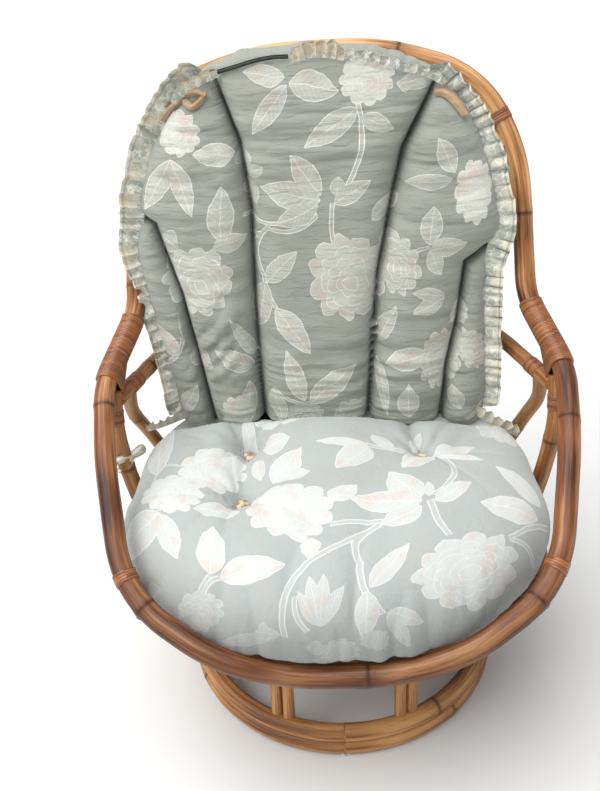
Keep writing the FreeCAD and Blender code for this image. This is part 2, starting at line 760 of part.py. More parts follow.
def make_back_cushion():
    """An upright cushion that leans back: its side, front and plan outlines meet in one solid."""
    wide = size("cushion_half_width")
    side = [(95, 462), (250, 462), (251, 700), (256, 880), (262, 960), (300, 1020), (272, 1046)]
    side += [(212, 1034), (150, 800), (90, 520)]
    side_wire = rounded_outline([(-wide, y, z) for y, z in side], 0.4)
    side_solid = Part.Face(side_wire).extrude(Vector(2 * wide, 0, 0))
    front = [(wide - 15, 455), (wide, 640), (wide - 5, 830), (wide - 75, 975), (wide - 150, 1050)]
    front = front + [(-x, z) for x, z in reversed(front)]
    front_wire = rounded_outline([(x, 0, z) for x, z in front], 0.4)
    front_solid = Part.Face(front_wire).extrude(Vector(0, 400, 0))
    plan = [(-wide, 60), (wide, 60), (wide, 180), (wide - 70, 262), (70 - wide, 262), (-wide, 180)]
    plan_wire = rounded_outline([(x, y, 400) for x, y in plan], 0.35)
    plan_solid = Part.Face(plan_wire).extrude(Vector(0, 0, 560))
    crown = Part.makeBox(2 * wide, 400, 200, Vector(-wide, 0, 960))
    solid = side_solid.common(front_solid).common(plan_solid.fuse(crown))
    feature("back_cushion", solid.removeSplitter())


def make_buttons():
    """Three covered buttons on the seat cushion."""
    top = size("seat_cushion_base") + size("seat_cushion_height")
    places = [(-152.0, 40.0), (-150.0, -130.0), (150.0, -30.0)]
    buttons = [Part.makeCylinder(10.0, 6.0, Vector(x, y, top)) for x, y in places]  # 20 mm across
    domed = [b.makeFillet(2.5, [b.Edges[0]]) for b in buttons]
    feature("seat_buttons", Part.makeCompound(domed))


# --- build -------------------------------------------------------------------------------------

make_base_rings()
make_base_plate()
doc.recompute()
make_glides()
make_base_arches()
make_base_fixings()
make_turntable()
make_rocker()
doc.recompute()
make_pivot_clips()
make_springs()
make_seat_frame()
make_cross_rails()
make_seat_rods()
make_back_spindles()
make_shoulder_bindings()
make_small_bindings()
make_seat_cushion()
make_back_cushion()
make_buttons()
doc.recompute()

for obj in doc.Objects:
    if any(word in obj.State for word in ("Invalid", "Error")):
        raise RuntimeError(f"{obj.Label} failed: {obj.State}")

os.makedirs("parts", exist_ok=True)
for label, obj in nodes.items():
    shape = obj.Shape
    if shape.isNull() or not shape.isValid() or not shape.Solids:
        raise RuntimeError(f"{label} has no valid solid")
    shape.exportStep(os.path.join("parts", f"{label}.step"))
    box = shape.BoundBox
    print(f"{label:24s} {len(shape.Solids)} solids {shape.Volume / 1000:9.1f} cm3  {box}")
print(len(nodes), "nodes")
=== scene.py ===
"""Rattan swivel rocker armchair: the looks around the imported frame. Metres, +Z up, -Y is the front."""

import math

import bpy
import numpy as np
from mathutils import Matrix, Vector


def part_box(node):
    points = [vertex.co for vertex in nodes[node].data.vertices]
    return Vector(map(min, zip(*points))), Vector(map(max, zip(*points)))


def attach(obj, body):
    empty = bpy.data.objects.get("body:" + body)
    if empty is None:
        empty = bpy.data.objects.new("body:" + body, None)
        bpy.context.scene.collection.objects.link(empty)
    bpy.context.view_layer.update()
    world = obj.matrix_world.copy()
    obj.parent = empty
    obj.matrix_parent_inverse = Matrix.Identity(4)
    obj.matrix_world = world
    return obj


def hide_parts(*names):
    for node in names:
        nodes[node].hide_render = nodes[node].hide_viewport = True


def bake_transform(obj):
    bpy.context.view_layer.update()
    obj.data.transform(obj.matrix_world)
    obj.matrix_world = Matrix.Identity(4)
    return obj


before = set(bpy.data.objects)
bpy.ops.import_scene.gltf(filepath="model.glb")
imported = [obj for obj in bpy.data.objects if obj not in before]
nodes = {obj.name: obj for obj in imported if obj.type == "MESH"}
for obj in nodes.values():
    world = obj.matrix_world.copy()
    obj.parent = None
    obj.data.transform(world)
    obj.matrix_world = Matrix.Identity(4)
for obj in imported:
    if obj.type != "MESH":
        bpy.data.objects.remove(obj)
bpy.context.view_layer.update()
rng = np.random.default_rng(11)

# --- shader nodes ------------------------------------------------------------------------------


def put(socket, value):
    if isinstance(value, Wire):
        socket.id_data.links.new(value.socket, socket)
    elif value is not None:
        socket.default_value = value


def add_node(tree, kind, inputs=(), out=0, **settings):
    """Adds a node. Its inputs are a list in order, or a dictionary by number or name."""
    made = tree.nodes.new(kind)
    for key, value in settings.items():
        setattr(made, key, value)
    for key, value in inputs.items() if isinstance(inputs, dict) else enumerate(inputs):
        put(made.inputs[key], value)
    return Wire(made.outputs[out])


class Wire:
    """A node's output. Arithmetic and the calls here add the nodes that work on it."""

    def __init__(self, socket):
        self.socket = socket
        self.tree = socket.id_data

    def math(self, operation, *others, clamp=False):
        if self.socket.type == "VALUE":
            return add_node(self.tree, "ShaderNodeMath", (self, *others), operation=operation, use_clamp=clamp)
        return add_node(self.tree, "ShaderNodeVectorMath", (self, *others), operation=operation)

    def __add__(self, other):
        return self.math("ADD", other)

    def __sub__(self, other):
        return self.math("SUBTRACT", other)

    def __mul__(self, other):
        return self.math("MULTIPLY", other)

    def __rsub__(self, other):
        return add_node(self.tree, "ShaderNodeMath", (other, self), operation="SUBTRACT")

    def __abs__(self):
        return self.math("ABSOLUTE")

    def most(self, other):
        return self.math("MAXIMUM", other)

    def least(self, other):
        return self.math("MINIMUM", other)

    def scale(self, x, y, z):
        return self.math("MULTIPLY", (x, y, z))

    def flat_length(self):
        """Length of the vector's X and Y."""
        return add_node(self.tree, "ShaderNodeVectorMath", (self.scale(1, 1, 0),), out=1, operation="LENGTH")

    def parts(self):
        first = add_node(self.tree, "ShaderNodeSeparateXYZ", (self,))
        return [Wire(socket) for socket in first.socket.node.outputs]

    def noise(self, scale, detail=2.0, rough=0.5, colour=False):
        inputs = {"Vector": self, "Scale": scale, "Detail": detail, "Roughness": rough}
        return add_node(self.tree, "ShaderNodeTexNoise", inputs, "Color" if colour else "Fac")

    def step(self, low, high):
        """0 below low, 1 above high, smooth between."""
        return add_node(self.tree, "ShaderNodeMapRange", (self, low, high), interpolation_type="SMOOTHSTEP")

    def mapped(self, place, turn, size):
        """The vector in a frame of this place, turn about Z and size."""
        inputs = (self, place, (0, 0, turn), size)
        return add_node(self.tree, "ShaderNodeMapping", inputs, vector_type="TEXTURE")


class Net:
    """A material and the nodes that start or join its wires."""

    def __init__(self, name):
        self.material = bpy.data.materials.new(name)
        self.material.use_nodes = True
        self.tree = self.material.node_tree

    def attribute(self, name, out="Vector"):
        return add_node(self.tree, "ShaderNodeAttribute", out=out, attribute_name=name)

    def place(self):
        """The object's own coordinates."""
        return add_node(self.tree, "ShaderNodeTexCoord", out=3)

    def mix(self, share, a, b):
        return add_node(self.tree, "ShaderNodeMix", {0: share, 6: a, 7: b}, 2, data_type="RGBA")

    def bump(self, height, distance, strength=1.0, below=None):
        inputs = {"Distance": distance, "Strength": strength, "Height": height, "Normal": below}
        return add_node(self.tree, "ShaderNodeBump", inputs)

    def finish(self, **inputs):
        for key, value in inputs.items():
            put(self.tree.nodes["Principled BSDF"].inputs[key.replace("_", " ")], value)
        return self.material


def colour(red, green, blue):
    """Linear colour from 0-255 display values."""
    parts = [v / 255 for v in (red, green, blue)]
    return tuple(v / 12.92 if v < 0.04045 else ((v + 0.055) / 1.055) ** 2.4 for v in parts) + (1.0,)


BLACK, WHITE = (0, 0, 0, 1), (1, 1, 1, 1)

# --- cane, steel and nylon ---------------------------------------------------------------------


def rattan(name, dark, middle, light, axis=None, seed=0.0, front=0.0):
    """Varnished pole: long streaks, blotches, dark pores, and a scar at each joint of the cane.

    The grain runs along the mesh's own grain attribute, or for a straight rod along an axis.
    front is how much painted shade darkens the pole at the chair's front, where it faces away from the light."""
    net = Net(name)
    joint = 0.0
    if axis is None:
        raw = net.attribute("grain")
        joint = net.attribute("joint", "Fac").math("MULTIPLY", 0.75, clamp=True)
    else:
        raw = net.place()
        turns = {0: (0, math.pi / 2, 0), 1: (math.pi / 2, 0, 0)}
        if axis in turns:
            raw = add_node(net.tree, "ShaderNodeMapping", (raw, (0, 0, 0), turns[axis]))
    at = raw + (seed, seed * 2.0, seed * 3.0)
    streak = at.scale(150, 150, 5).noise(1.0, 4, 0.65)
    broad = at.scale(45, 45, 2.5).noise(1.0, 3, 0.6)
    blotch = at.scale(9, 9, 5).noise(1.0, 2)
    pores = at.scale(700, 700, 28).noise(1.0, 1)
    tone = streak * 0.5 + broad * 0.5 + (blotch - 0.5) * 0.55
    base = net.mix(tone.step(0.34, 0.5), dark, middle)
    base = net.mix(tone.step(0.46, 0.66), base, light)
    base = net.mix(pores.step(0.62, 0.7) * 0.45, base, dark)
    base = net.mix(joint, base, dark)
    # Painted shade: the pole turns towards its dark colour at the chair's front.
    if front:
        ahead = (net.place().parts()[1] * -1.0).step(0.12, 0.34)
        base = net.mix(ahead * front, base, dark)
    return net.finish(
        Base_Color=base,
        Roughness=broad * 0.22 + 0.36,
        Specular_IOR_Level=0.3,
        Coat_Weight=0.1,
        Coat_Roughness=0.25,
        Normal=net.bump(streak * 0.6 + pores * -0.4, 0.0007, 0.8),
    )


DARK, MIDDLE, LIGHT = colour(66, 34, 17), colour(134, 84, 46), colour(192, 142, 92)
# The arm hoop carries painted shade at the chair's front.
pole_red = rattan("rattan_arm_hoop", colour(50, 26, 15), colour(124, 73, 42), colour(194, 139, 90), front=0.42)
pole_gold = rattan("rattan_back_hoop", DARK, colour(156, 102, 58), colour(224, 174, 118), seed=0.7)
pole_base = rattan("rattan_base", colour(66, 36, 17), colour(140, 90, 49), colour(192, 142, 88), seed=1.9)
pole_strut = rattan("rattan_strut", DARK, colour(138, 88, 46), colour(186, 136, 84), seed=3.1)
straight = [
    rattan(f"rattan_straight_{word}", DARK, MIDDLE, LIGHT, axis=k, seed=4.0 + k) for k, word in enumerate("xyz")
]


def cane_material():
    """Split cane wound in turns: each turn has its own shade, and the gaps between turns are dark."""
    net = Net("cane_binding")
    turn = net.attribute("turn", "Fac").math("FLOOR")
    own = add_node(net.tree, "ShaderNodeTexWhiteNoise", (None, turn), noise_dimensions="1D")
    fibre = net.attribute("grain").scale(60, 60, 900).noise(1.0, 3, 0.6)
    base = net.mix(own, colour(120, 66, 30), colour(176, 108, 56))
    base = net.mix(fibre.step(0.35, 0.7), net.mix(0.4, base, DARK), base)
    base = net.mix(net.attribute("gap", "Fac") * 0.85, base, colour(48, 24, 12))
    grain = net.bump(fibre, 0.0004, 0.6)
    return net.finish(Base_Color=base, Roughness=0.42, Coat_Weight=0.25, Coat_Roughness=0.3, Normal=grain)


def steel_material(name, shade, rough, metal):
    """Pressed or plated steel with fine scratches and dust in patches."""
    net = Net(name)
    scratch = net.place().scale(60, 900, 60).noise(1.0, 3, 0.6)
    dust = net.place().noise(14, 3).step(0.5, 0.75) * 0.35
    base = net.mix(dust, shade, colour(120, 108, 92))
    marks = net.bump(scratch, 0.0002, 0.4)
    return net.finish(Base_Color=base, Metallic=metal, Roughness=scratch * 0.25 + rough, Normal=marks)


def nylon_material():
    net = Net("nylon_glide")
    scuff = net.place().scale(300, 300, 40).noise(1.0, 3, 0.6)
    base = net.mix(scuff.step(0.45, 0.7), colour(214, 208, 194), colour(150, 140, 124))
    return net.finish(Base_Color=base, Roughness=0.5, Normal=net.bump(scuff, 0.0003, 0.5))


cane = cane_material()
black_steel = steel_material("black_steel", colour(22, 22, 24), 0.35, 0.1)
bright_steel = steel_material("bright_steel", colour(168, 168, 166), 0.22, 1.0)
nylon = nylon_material()

# --- the floral print --------------------------------------------------------------------------

# Motifs lie on the flat cloth, in millimetres. Pale is how strong the fill is, in hundredths.
# Leaf: base x, base y, tip x, tip y, width, pale.
# Flower: centre x, centre y, radius x, radius y, turn in degrees, pale.
# Stem: end x, end y, other end x, other end y, sag to its right, width.
# Ring of petals: radius, count, turn, offset x, offset y, in parts of the flower's radius.

PETAL_RINGS = (
    (0.99, 11, 0.3, 0.0, 0.0), (0.80, 9, 1.1, 0.04, -0.06), (0.60, 8, 2.0, -0.03, -0.10),
    (0.40, 7, 0.4, 0.03, -0.12), (0.20, 5, 1.3, 0.0, -0.14),
)
GREY = (0.5, 0.5, 0.5)


def leaf_marks(at):
    """Fill and line strength of the leaf whose own frame `at` is, with how pale it is as Z."""
    x, y, pale = at.parts()
    y = y + (at.scale(2.2, 0.4, 1).noise(1.0, 1) - 0.5) * 0.34
    side = abs(y)
    taper = (1.0 - x * x).most(0.0).math("POWER", 0.85)
    inside = taper * (x * -0.28 + 1.0) - side
    body = inside.step(0.0, 0.03)
    rim = body - inside.step(0.05, 0.10)
    rib = 1.0 - side.step(0.02, 0.05)
    slant = (x * 4.5 - side * 1.8).math("FRACT")
    vein = 1.0 - abs(slant - 0.5).step(0.04, 0.12)
    return body * pale, rim.most(rib.most(vein * 0.4) * 0.7 * body)


def flower_marks(at):
    """Fill and line strength of a full-petalled flower in its own frame."""
    warp = at.scale(1.6, 1.6, 7).noise(1.0, 2, colour=True)
    bent = at + (warp - GREY).scale(0.38, 0.38, 0)
    fill = lines = None
    for radius, count, turn, dx, dy in PETAL_RINGS:
        here = bent - (dx, dy, 0.0)
        x, y, _ = here.parts()
        angle = y.math("ARCTAN2", x)
        swing = angle.math("MULTIPLY_ADD", count / 2.0, turn)
        lobe = abs(swing.math("SINE")).math("POWER", 0.6)
        inside = lobe.math("MULTIPLY_ADD", 0.2, 0.8) * radius - here.flat_length()
        body = inside.step(0.0, 0.02)
        rim = body - inside.step(0.018, 0.036)
        ray = (angle * (count * 1.1)).math("FRACT")
        stria = abs(ray - 0.5).step(0.34, 0.48) * inside.step(0.22, 0.04)
        mark = rim.most(stria * body * 0.3)
        lines = mark if fill is None else (lines * (1.0 - body * 0.8)).most(mark)
        fill = body if fill is None else fill
    return fill * at.parts()[2], lines


def nearest(at, frames):
    """The coordinates of the motif whose ellipse is nearest."""
    best = shortest = None
    for (x, y), turn, (wide, high), pale in frames:
        own = at.mapped((x, y, -pale), turn, (wide, high, 1.0))
        length = own.flat_length()
        if best is None:
            best, shortest = own, length
        else:
            nearer = length.math("LESS_THAN", shortest)
            best = add_node(at.tree, "ShaderNodeMix", {0: nearer, 4: best, 5: own}, 1, data_type="VECTOR")
            shortest = length.least(shortest)
    return best


def chord(*ends):
    """Middle, direction and half length of a line, in centimetres."""
    x0, y0, x1, y1 = (v / 10 for v in ends)
    middle = ((x0 + x1) / 2, (y0 + y1) / 2)
    return middle, math.atan2(y1 - y0, x1 - x0), math.hypot(x1 - x0, y1 - y0) / 2


def stem_marks(at, stems):
    """Fill and line strength of the stems, each a double line along a parabola."""
    gap = None
    for *ends, sag, wide in stems:
        middle, turn, half = chord(*ends)
        sag, wide = sag / 10, wide / 10
        x, y, _ = at.mapped((*middle, 0), turn, (half, wide / 2, 1.0)).parts()
        bow = (x * x).math("MULTIPLY_ADD", sag / (wide / 2), -sag / (wide / 2))
        off = abs(y - bow) * (1.0 / math.sqrt(1 + (sag / half) ** 2))
        off = off.most((abs(x) - 1.0) * 40.0)
        gap = off if gap is None else gap.least(off)
    body = 1.0 - gap.step(0.9, 1.05)
    return body * 0.35, body * gap.step(0.5, 0.68)


def printed(name, leaves, flowers, stems, ground, pale, blush, white, creases, painted_low_shade=None):
    """Sage cotton with pale outlined leaves, flowers and stems. `print` is the cloth's own plane.

    creases is how finely the cloth's small wrinkles run across and along, and how strong they are.
    The last argument gives the heights between which painted shade darkens the cloth downwards, and how much
    darker."""
    net = Net(name)
    cloth = net.attribute("print")
    at = cloth + (cloth.noise(0.35, 2, colour=True) - GREY).scale(0.5, 0.5, 0)
    leaf_frames = []
    for *ends, wide, fade in leaves:
        middle, turn, half = chord(*ends)
        leaf_frames.append((middle, turn, (half, wide / 10 / 2), fade / 100))
    flower_frames = [
        ((x / 10, y / 10), math.radians(turn), (rx / 10, ry / 10), fade / 100)
        for x, y, rx, ry, turn, fade in flowers
    ]
    fill, lines = stem_marks(at, stems)
    for marks, frames in ((leaf_marks, leaf_frames), (flower_marks, flower_frames)):
        body, rim = marks(nearest(at, frames))
        clear = 1.0 - body.step(0.0, 0.05)
        lines = (lines * clear).most(rim)
        fill = (fill * clear).most(body)
    weave = cloth.scale(8, 110, 8).noise(1.0, 2) + cloth.scale(110, 8, 8).noise(1.0, 2)
    base = net.mix(weave.step(0.75, 1.25), net.mix(0.16, ground, BLACK), net.mix(0.12, ground, WHITE))
    faded = net.mix(0.5, ground, colour(168, 160, 132))
    base = net.mix(cloth.noise(0.12, 3).step(0.45, 0.75) * 0.3, base, faded)
    tint = net.mix(cloth.noise(0.3, 1).step(0.5, 0.68), pale, blush)
    base = net.mix(fill.math("MULTIPLY", 1.15, clamp=True), base, tint)
    ink = lines.math("MULTIPLY", weave.math("MULTIPLY_ADD", 0.3, 0.45), clamp=True)
    base = net.mix(ink, base, white)
    # Painted shade: the cloth turns darker towards its low edge, standing in for the shade under the cushion's
    # front.
    if painted_low_shade:
        low, high, strength = painted_low_shade
        below = 1.0 - net.place().parts()[2].step(low, high)
        base = net.mix(below * strength, base, colour(74, 72, 66))
    # Painted shade: near black along the channel seams, standing in for the shade in their creases.
    base = net.mix(net.attribute("seam_shade", "Fac") * 0.9, base, (0.012, 0.012, 0.01, 1.0))
    across, along, strength = creases
    crease = cloth.scale(across, along, 1).noise(1.0, 4, 0.6)
    wrinkles = net.bump(abs(crease - 0.5) * 1.6 + crease, 0.005, strength)
    return net.finish(
        Base_Color=base,
        Roughness=0.88,
        Sheen_Weight=0.25,
        Sheen_Roughness=0.5,
        Specular_IOR_Level=0.25,
        Normal=net.bump(weave, 0.0006, 0.5, wrinkles),
    )


BACK_LEAVES = (
    (-57, 1039, -123, 1049, 30, 55), (-55, 1030, -113, 959, 32, 40), (-51, 1032, 26, 1018, 44, 45),
    (116, 1021, 204, 1028, 27, 40), (54, 992, -31, 937, 37, 45), (59, 978, 111, 958, 28, 40),
    (-9, 865, -54, 929, 40, 40), (-9, 857, -105, 878, 43, 40), (-13, 851, -80, 821, 37, 35),
    (17, 862, 21, 892, 24, 35), (12, 851, 73, 884, 29, 35), (-104, 725, -51, 779, 33, 35),
    (-106, 725, -124, 633, 32, 35), (-91, 682, -35, 600, 41, 60), (-51, 513, -78, 607, 34, 50),
    (-41, 506, 40, 579, 43, 45), (-105, 534, -88, 461, 31, 40), (-143, 930, -210, 932, 37, 60),
    (-245, 926, -216, 840, 35, 50), (-246, 926, -298, 845, 34, 40), (-174, 795, -168, 884, 43, 40),
    (-187, 788, -131, 801, 32, 45), (-127, 897, -98, 911, 21, 35), (-126, 886, -113, 850, 26, 35),
    (-127, 907, -133, 934, 27, 35), (-134, 573, -200, 609, 33, 35), (-131, 590, -170, 667, 20, 40),
    (-151, 470, -145, 549, 29, 35), (-268, 591, -311, 650, 42, 65), (-272, 479, -238, 537, 29, 40),
    (-246, 591, -206, 575, 38, 35), (-253, 610, -261, 672, 2, 40), (202, 878, 126, 874, 27, 40),
    (206, 889, 180, 942, 32, 40), (166, 778, 172, 840, 36, 40), (165, 768, 228, 776, 34, 40),
    (165, 768, 185, 726, 29, 40), (73, 820, 117, 853, 31, 50), (191, 689, 137, 700, 23, 35),
    (191, 686, 138, 664, 27, 35), (162, 591, 90, 573, 41, 55), (132, 468, 129, 536, 38, 50),
    (78, 581, 95, 470, 20, 40), (80, 612, 110, 677, 25, 35), (223, 475, 206, 522, 27, 40),
    (276, 687, 263, 665, 16, 30), (-274, 801, -246, 787, 47, 30),
)
BACK_FLOWERS = (
    (70, 1031, 46, 37, 0, 75), (33, 730, 67, 78, 20, 55), (-232, 965, 38, 34, 0, 70),
    (-218, 730, 61, 62, 40, 50), (238, 854, 33, 52, 0, 85), (111, 745, 39, 54, 10, 45),
    (186, 575, 37, 58, 0, 55), (242, 586, 26, 42, 30, 55), (-51, 481, 33, 32, 0, 30),
    (33, 468, 37, 41, 10, 35), (-169, 487, 30, 38, 0, 55), (218, 648, 15, 23, 0, 60),
)
BACK_STEMS = (
    (51, 1010, 29, 870, -19, 9), (10, 851, 11, 783, 3, 8), (-15, 834, -96, 815, -12, 8),
    (-96, 815, -107, 734, 17, 9), (-107, 734, -91, 682, 5, 8), (-135, 833, -72, 825, 5, 6),
    (-123, 795, -94, 823, 4, 6), (-208, 777, -182, 787, 2, 7), (129, 760, 165, 774, -3, 7),
    (-256, 624, -303, 568, -10, 8), (280, 498, 233, 453, -5, 8), (-102, 536, -48, 506, 4, 6),
    (118, 1025, 133, 1011, 3, 5),
)
SEAT_LEAVES = (
    (-242, -109, -338, -158, 61, 60), (-241, -111, -221, -194, 42, 70), (-173, -223, -154, -136, 44, 85),
    (-159, -227, -64, -210, 47, 90), (-63, -29, -28, 19, 38, 75), (-51, -22, -18, -17, 22, 70),
    (-112, -96, -184, -102, 32, 75), (-1, -88, 22, -55, 29, 80), (-29, -162, -32, -204, 26, 80),
    (-84, 34, -47, 44, 45, 70), (-97, 30, -133, 124, 20, 60), (-93, 18, -80, -20, 22, 60),
    (36, 25, -16, 26, 18, 85), (35, 23, 4, -19, 32, 75), (47, 54, 69, 20, 25, 70), (134, 31, 214, 43, 43, 75),
    (138, 23, 216, -10, 22, 80), (129, 28, 74, -27, 45, 90), (101, -99, 56, -33, 42, 80),
    (104, -104, 15, -84, 44, 75), (104, -114, 53, -141, 41, 70), (113, -96, 109, -63, 15, 75),
    (121, -106, 176, -72, 33, 75), (300, -127, 189, -113, 46, 85), (307, -102, 233, -28, 43, 80),
    (46, -256, 95, -183, 32, 75), (42, -261, 39, -328, 34, 60), (70, -292, 127, -303, 22, 55),
    (70, -296, 110, -334, 21, 50), (-25, -309, -35, -234, 24, 55), (-24, -309, -15, -232, 22, 50),
    (-23, -309, 10, -251, 21, 55), (-27, -308, -53, -257, 19, 50), (-100, -321, -185, -314, 17, 35),
    (-107, -317, -106, -296, 17, 35), (-83, -314, -122, -310, 14, 35), (100, 42, 126, 84, 19, 60),
    (-269, -14, -307, 163, 61, 50), (334, -193, 313, -228, 16, 50), (-46, -334, -18, -340, 22, 40),
    (18, -335, -14, -352, 19, 35), (-304, -227, -269, -222, 30, 40),
)
SEAT_FLOWERS = (
    (-164, -4, 63, 53, 15, 85), (-225, -66, 62, 45, -10, 85), (-205, -270, 43, 27, 0, 50),
    (-50, -103, 54, 66, 0, 85), (184, -223, 88, 55, 15, 70), (2, -345, 31, 19, 0, 45),
    (-60, 115, 60, 37, 0, 70), (54, -327, 22, 14, 0, 40), (298, 113, 61, 64, 0, 50),
)
SEAT_STEMS = (
    (36, 26, 134, 31, 5, 8), (144, 14, 118, -92, -24, 10), (115, -104, 147, -173, 5, 10),
    (332, -126, 246, -172, 5, 9), (56, -133, -4, -134, 3, 10), (51, -139, -29, -204, -4, 10),
    (-29, -204, -77, -317, 15, 10), (51, -143, 32, -213, 16, 10), (32, -213, 63, -292, 11, 10),
    (-173, -225, -197, -252, 2, 8), (-159, -227, -189, -250, 4, 8), (-243, -103, -272, -6, -9, 6),
    (-216, -2, -277, 7, 3, 5), (-56, -265, -43, -313, 7, 8), (251, -174, 315, -203, -11, 8),
    (-99, 43, -128, 126, 4, 5),
)
print_back = printed(
    "floral_back", BACK_LEAVES, BACK_FLOWERS, BACK_STEMS,
    colour(148, 153, 142), colour(211, 212, 201), colour(209, 197, 185), colour(232, 234, 229), (0.25, 1.3, 0.68),
)
# The seat and the back are one cloth; the seat's paler ground and fainter print are painted light for the
# stronger light on its top.
print_seat = printed(
    "floral_seat", SEAT_LEAVES, SEAT_FLOWERS, SEAT_STEMS,
    colour(170, 176, 174), colour(205, 208, 205), colour(206, 198, 192), colour(219, 222, 222), (0.6, 0.5, 0.26),
    # Painted shade on the seat's low front.
    painted_low_shade=(0.35, 0.46, 0.42),
)

# --- paths, tubes and pieces -------------------------------------------------------------------

POLE_STEP = 0.003


def mm(points):
    return [tuple(v / 1000 for v in p) for p in points]


def bell(value, width):
    """1 at zero, falling smoothly on both sides."""
    return np.exp(-((value / width) ** 2))


def share_of(value):
    return np.clip(value, 0, 1)


def walked(path):
    """How far along a path each of its points lies."""
    return np.r_[0, np.cumsum(np.linalg.norm(np.diff(path, axis=0), axis=1))]


def unit_rows(vectors):
    return vectors / np.linalg.norm(vectors, axis=1)[:, None]


def eased(line, rounds):
    """The line with its inner points drawn towards their neighbours, round after round."""
    for _ in range(rounds):
        line[1:-1] = (line[:-2] + line[1:-1] * 2 + line[2:]) / 4
    return line


def resample(path, spacing):
    """Evenly spaced points along a path."""
    steps = np.linalg.norm(np.diff(path, axis=0), axis=1)
    path = path[np.r_[True, steps > 1e-7]]
    length = walked(path)
    count = max(3, int(round(length[-1] / spacing)))
    s = np.linspace(0, length[-1], count + 1)
    return np.stack([np.interp(s, length, path[:, k]) for k in range(3)], 1)


def run_points(corners, share=0.48, closed=False):
    """Straight runs joined by tangent arcs that take up a share of the shorter run beside them."""
    corners = [Vector(c) for c in corners]
    count = len(corners)
    path = []
    for i, here in enumerate(corners):
        if not closed and i in (0, count - 1):
            path.append(here)
            continue
        back, ahead = corners[i - 1] - here, corners[(i + 1) % count] - here
        ease = share * min(back.length, ahead.length)
        a, b = back.normalized(), ahead.normalized()
        half = a.angle(b) / 2
        if math.pi / 2 - half < 1e-3:
            path.append(here)
            continue
        centre = here + (a + b).normalized() * (ease / math.cos(half))
        first = here + a * ease - centre
        last = here + b * ease - centre
        sweep = first.angle(last)
        steps = max(6, int(first.length * sweep / POLE_STEP))
        for k in range(steps + 1):
            t = k / steps
            arm = first * math.sin((1 - t) * sweep) + last * math.sin(t * sweep)
            path.append(centre + arm / math.sin(sweep))
    if closed:
        path.append(path[0])
    return resample(np.array([list(p) for p in path]), POLE_STEP)


def frames_along(path, closed=False):
    """Tangents and two cross directions that don't spin."""
    tangent = np.gradient(path, axis=0)
    if closed:
        tangent[0] = tangent[-1] = path[1] - path[-2]
    tangent = unit_rows(tangent)
    start = np.array([0.0, 0.0, 1.0]) if abs(tangent[0][2]) < 0.9 else np.array([1.0, 0.0, 0.0])
    side = np.empty_like(path)
    v = start - tangent[0] * (start @ tangent[0])
    for i in range(len(path)):
        v = v - tangent[i] * (v @ tangent[i])
        v /= np.linalg.norm(v)
        side[i] = v
    if closed:
        other = np.cross(tangent[0], side[0])
        twist = math.atan2(side[-1] @ other, side[-1] @ side[0])
        angle = -twist * np.linspace(0, 1, len(path))
        across = np.cross(tangent, side)
        side = side * np.cos(angle)[:, None] + across * np.sin(angle)[:, None]
    return tangent, side, np.cross(tangent, side)


def link(name, data):
    obj = bpy.data.objects.new(name, data)
    bpy.context.scene.collection.objects.link(obj)
    return obj


def new_mesh(name, points, faces, material, smooth=True):
    mesh = bpy.data.meshes.new(name)
    mesh.from_pydata([tuple(p) for p in points], [], [tuple(f) for f in faces])
    mesh.polygons.foreach_set("use_smooth", [smooth] * len(mesh.polygons))
    mesh.materials.append(material)
    return link(name, mesh)


def give(obj, name, values):
    """Adds a point attribute: one number or a vector per point."""
    values = np.asarray(values, np.float32)
    kind, key = ("FLOAT", "value") if values.ndim == 1 else ("FLOAT_VECTOR", "vector")
    obj.data.attributes.new(name, kind, "POINT").data.foreach_set(key, values.ravel())


def ring_angles(sides):
    return np.arange(sides) * 2 * math.pi / sides


def grid_faces(rows, columns, wrap_columns=True, wrap_rows=False):
    faces = []
    for i in range(rows - (0 if wrap_rows else 1)):
        for j in range(columns - (0 if wrap_columns else 1)):
            k, right = ((i + 1) % rows) * columns, (j + 1) % columns
            faces.append((i * columns + j, i * columns + right, k + right, k + j))
    return faces


def tube_faces(rows, sides):
    """The wall of a tube and its two end caps."""
    caps = [tuple(reversed(range(sides))), tuple((rows - 1) * sides + j for j in range(sides))]
    return grid_faces(rows, sides) + caps


# --- poles -------------------------------------------------------------------------------------


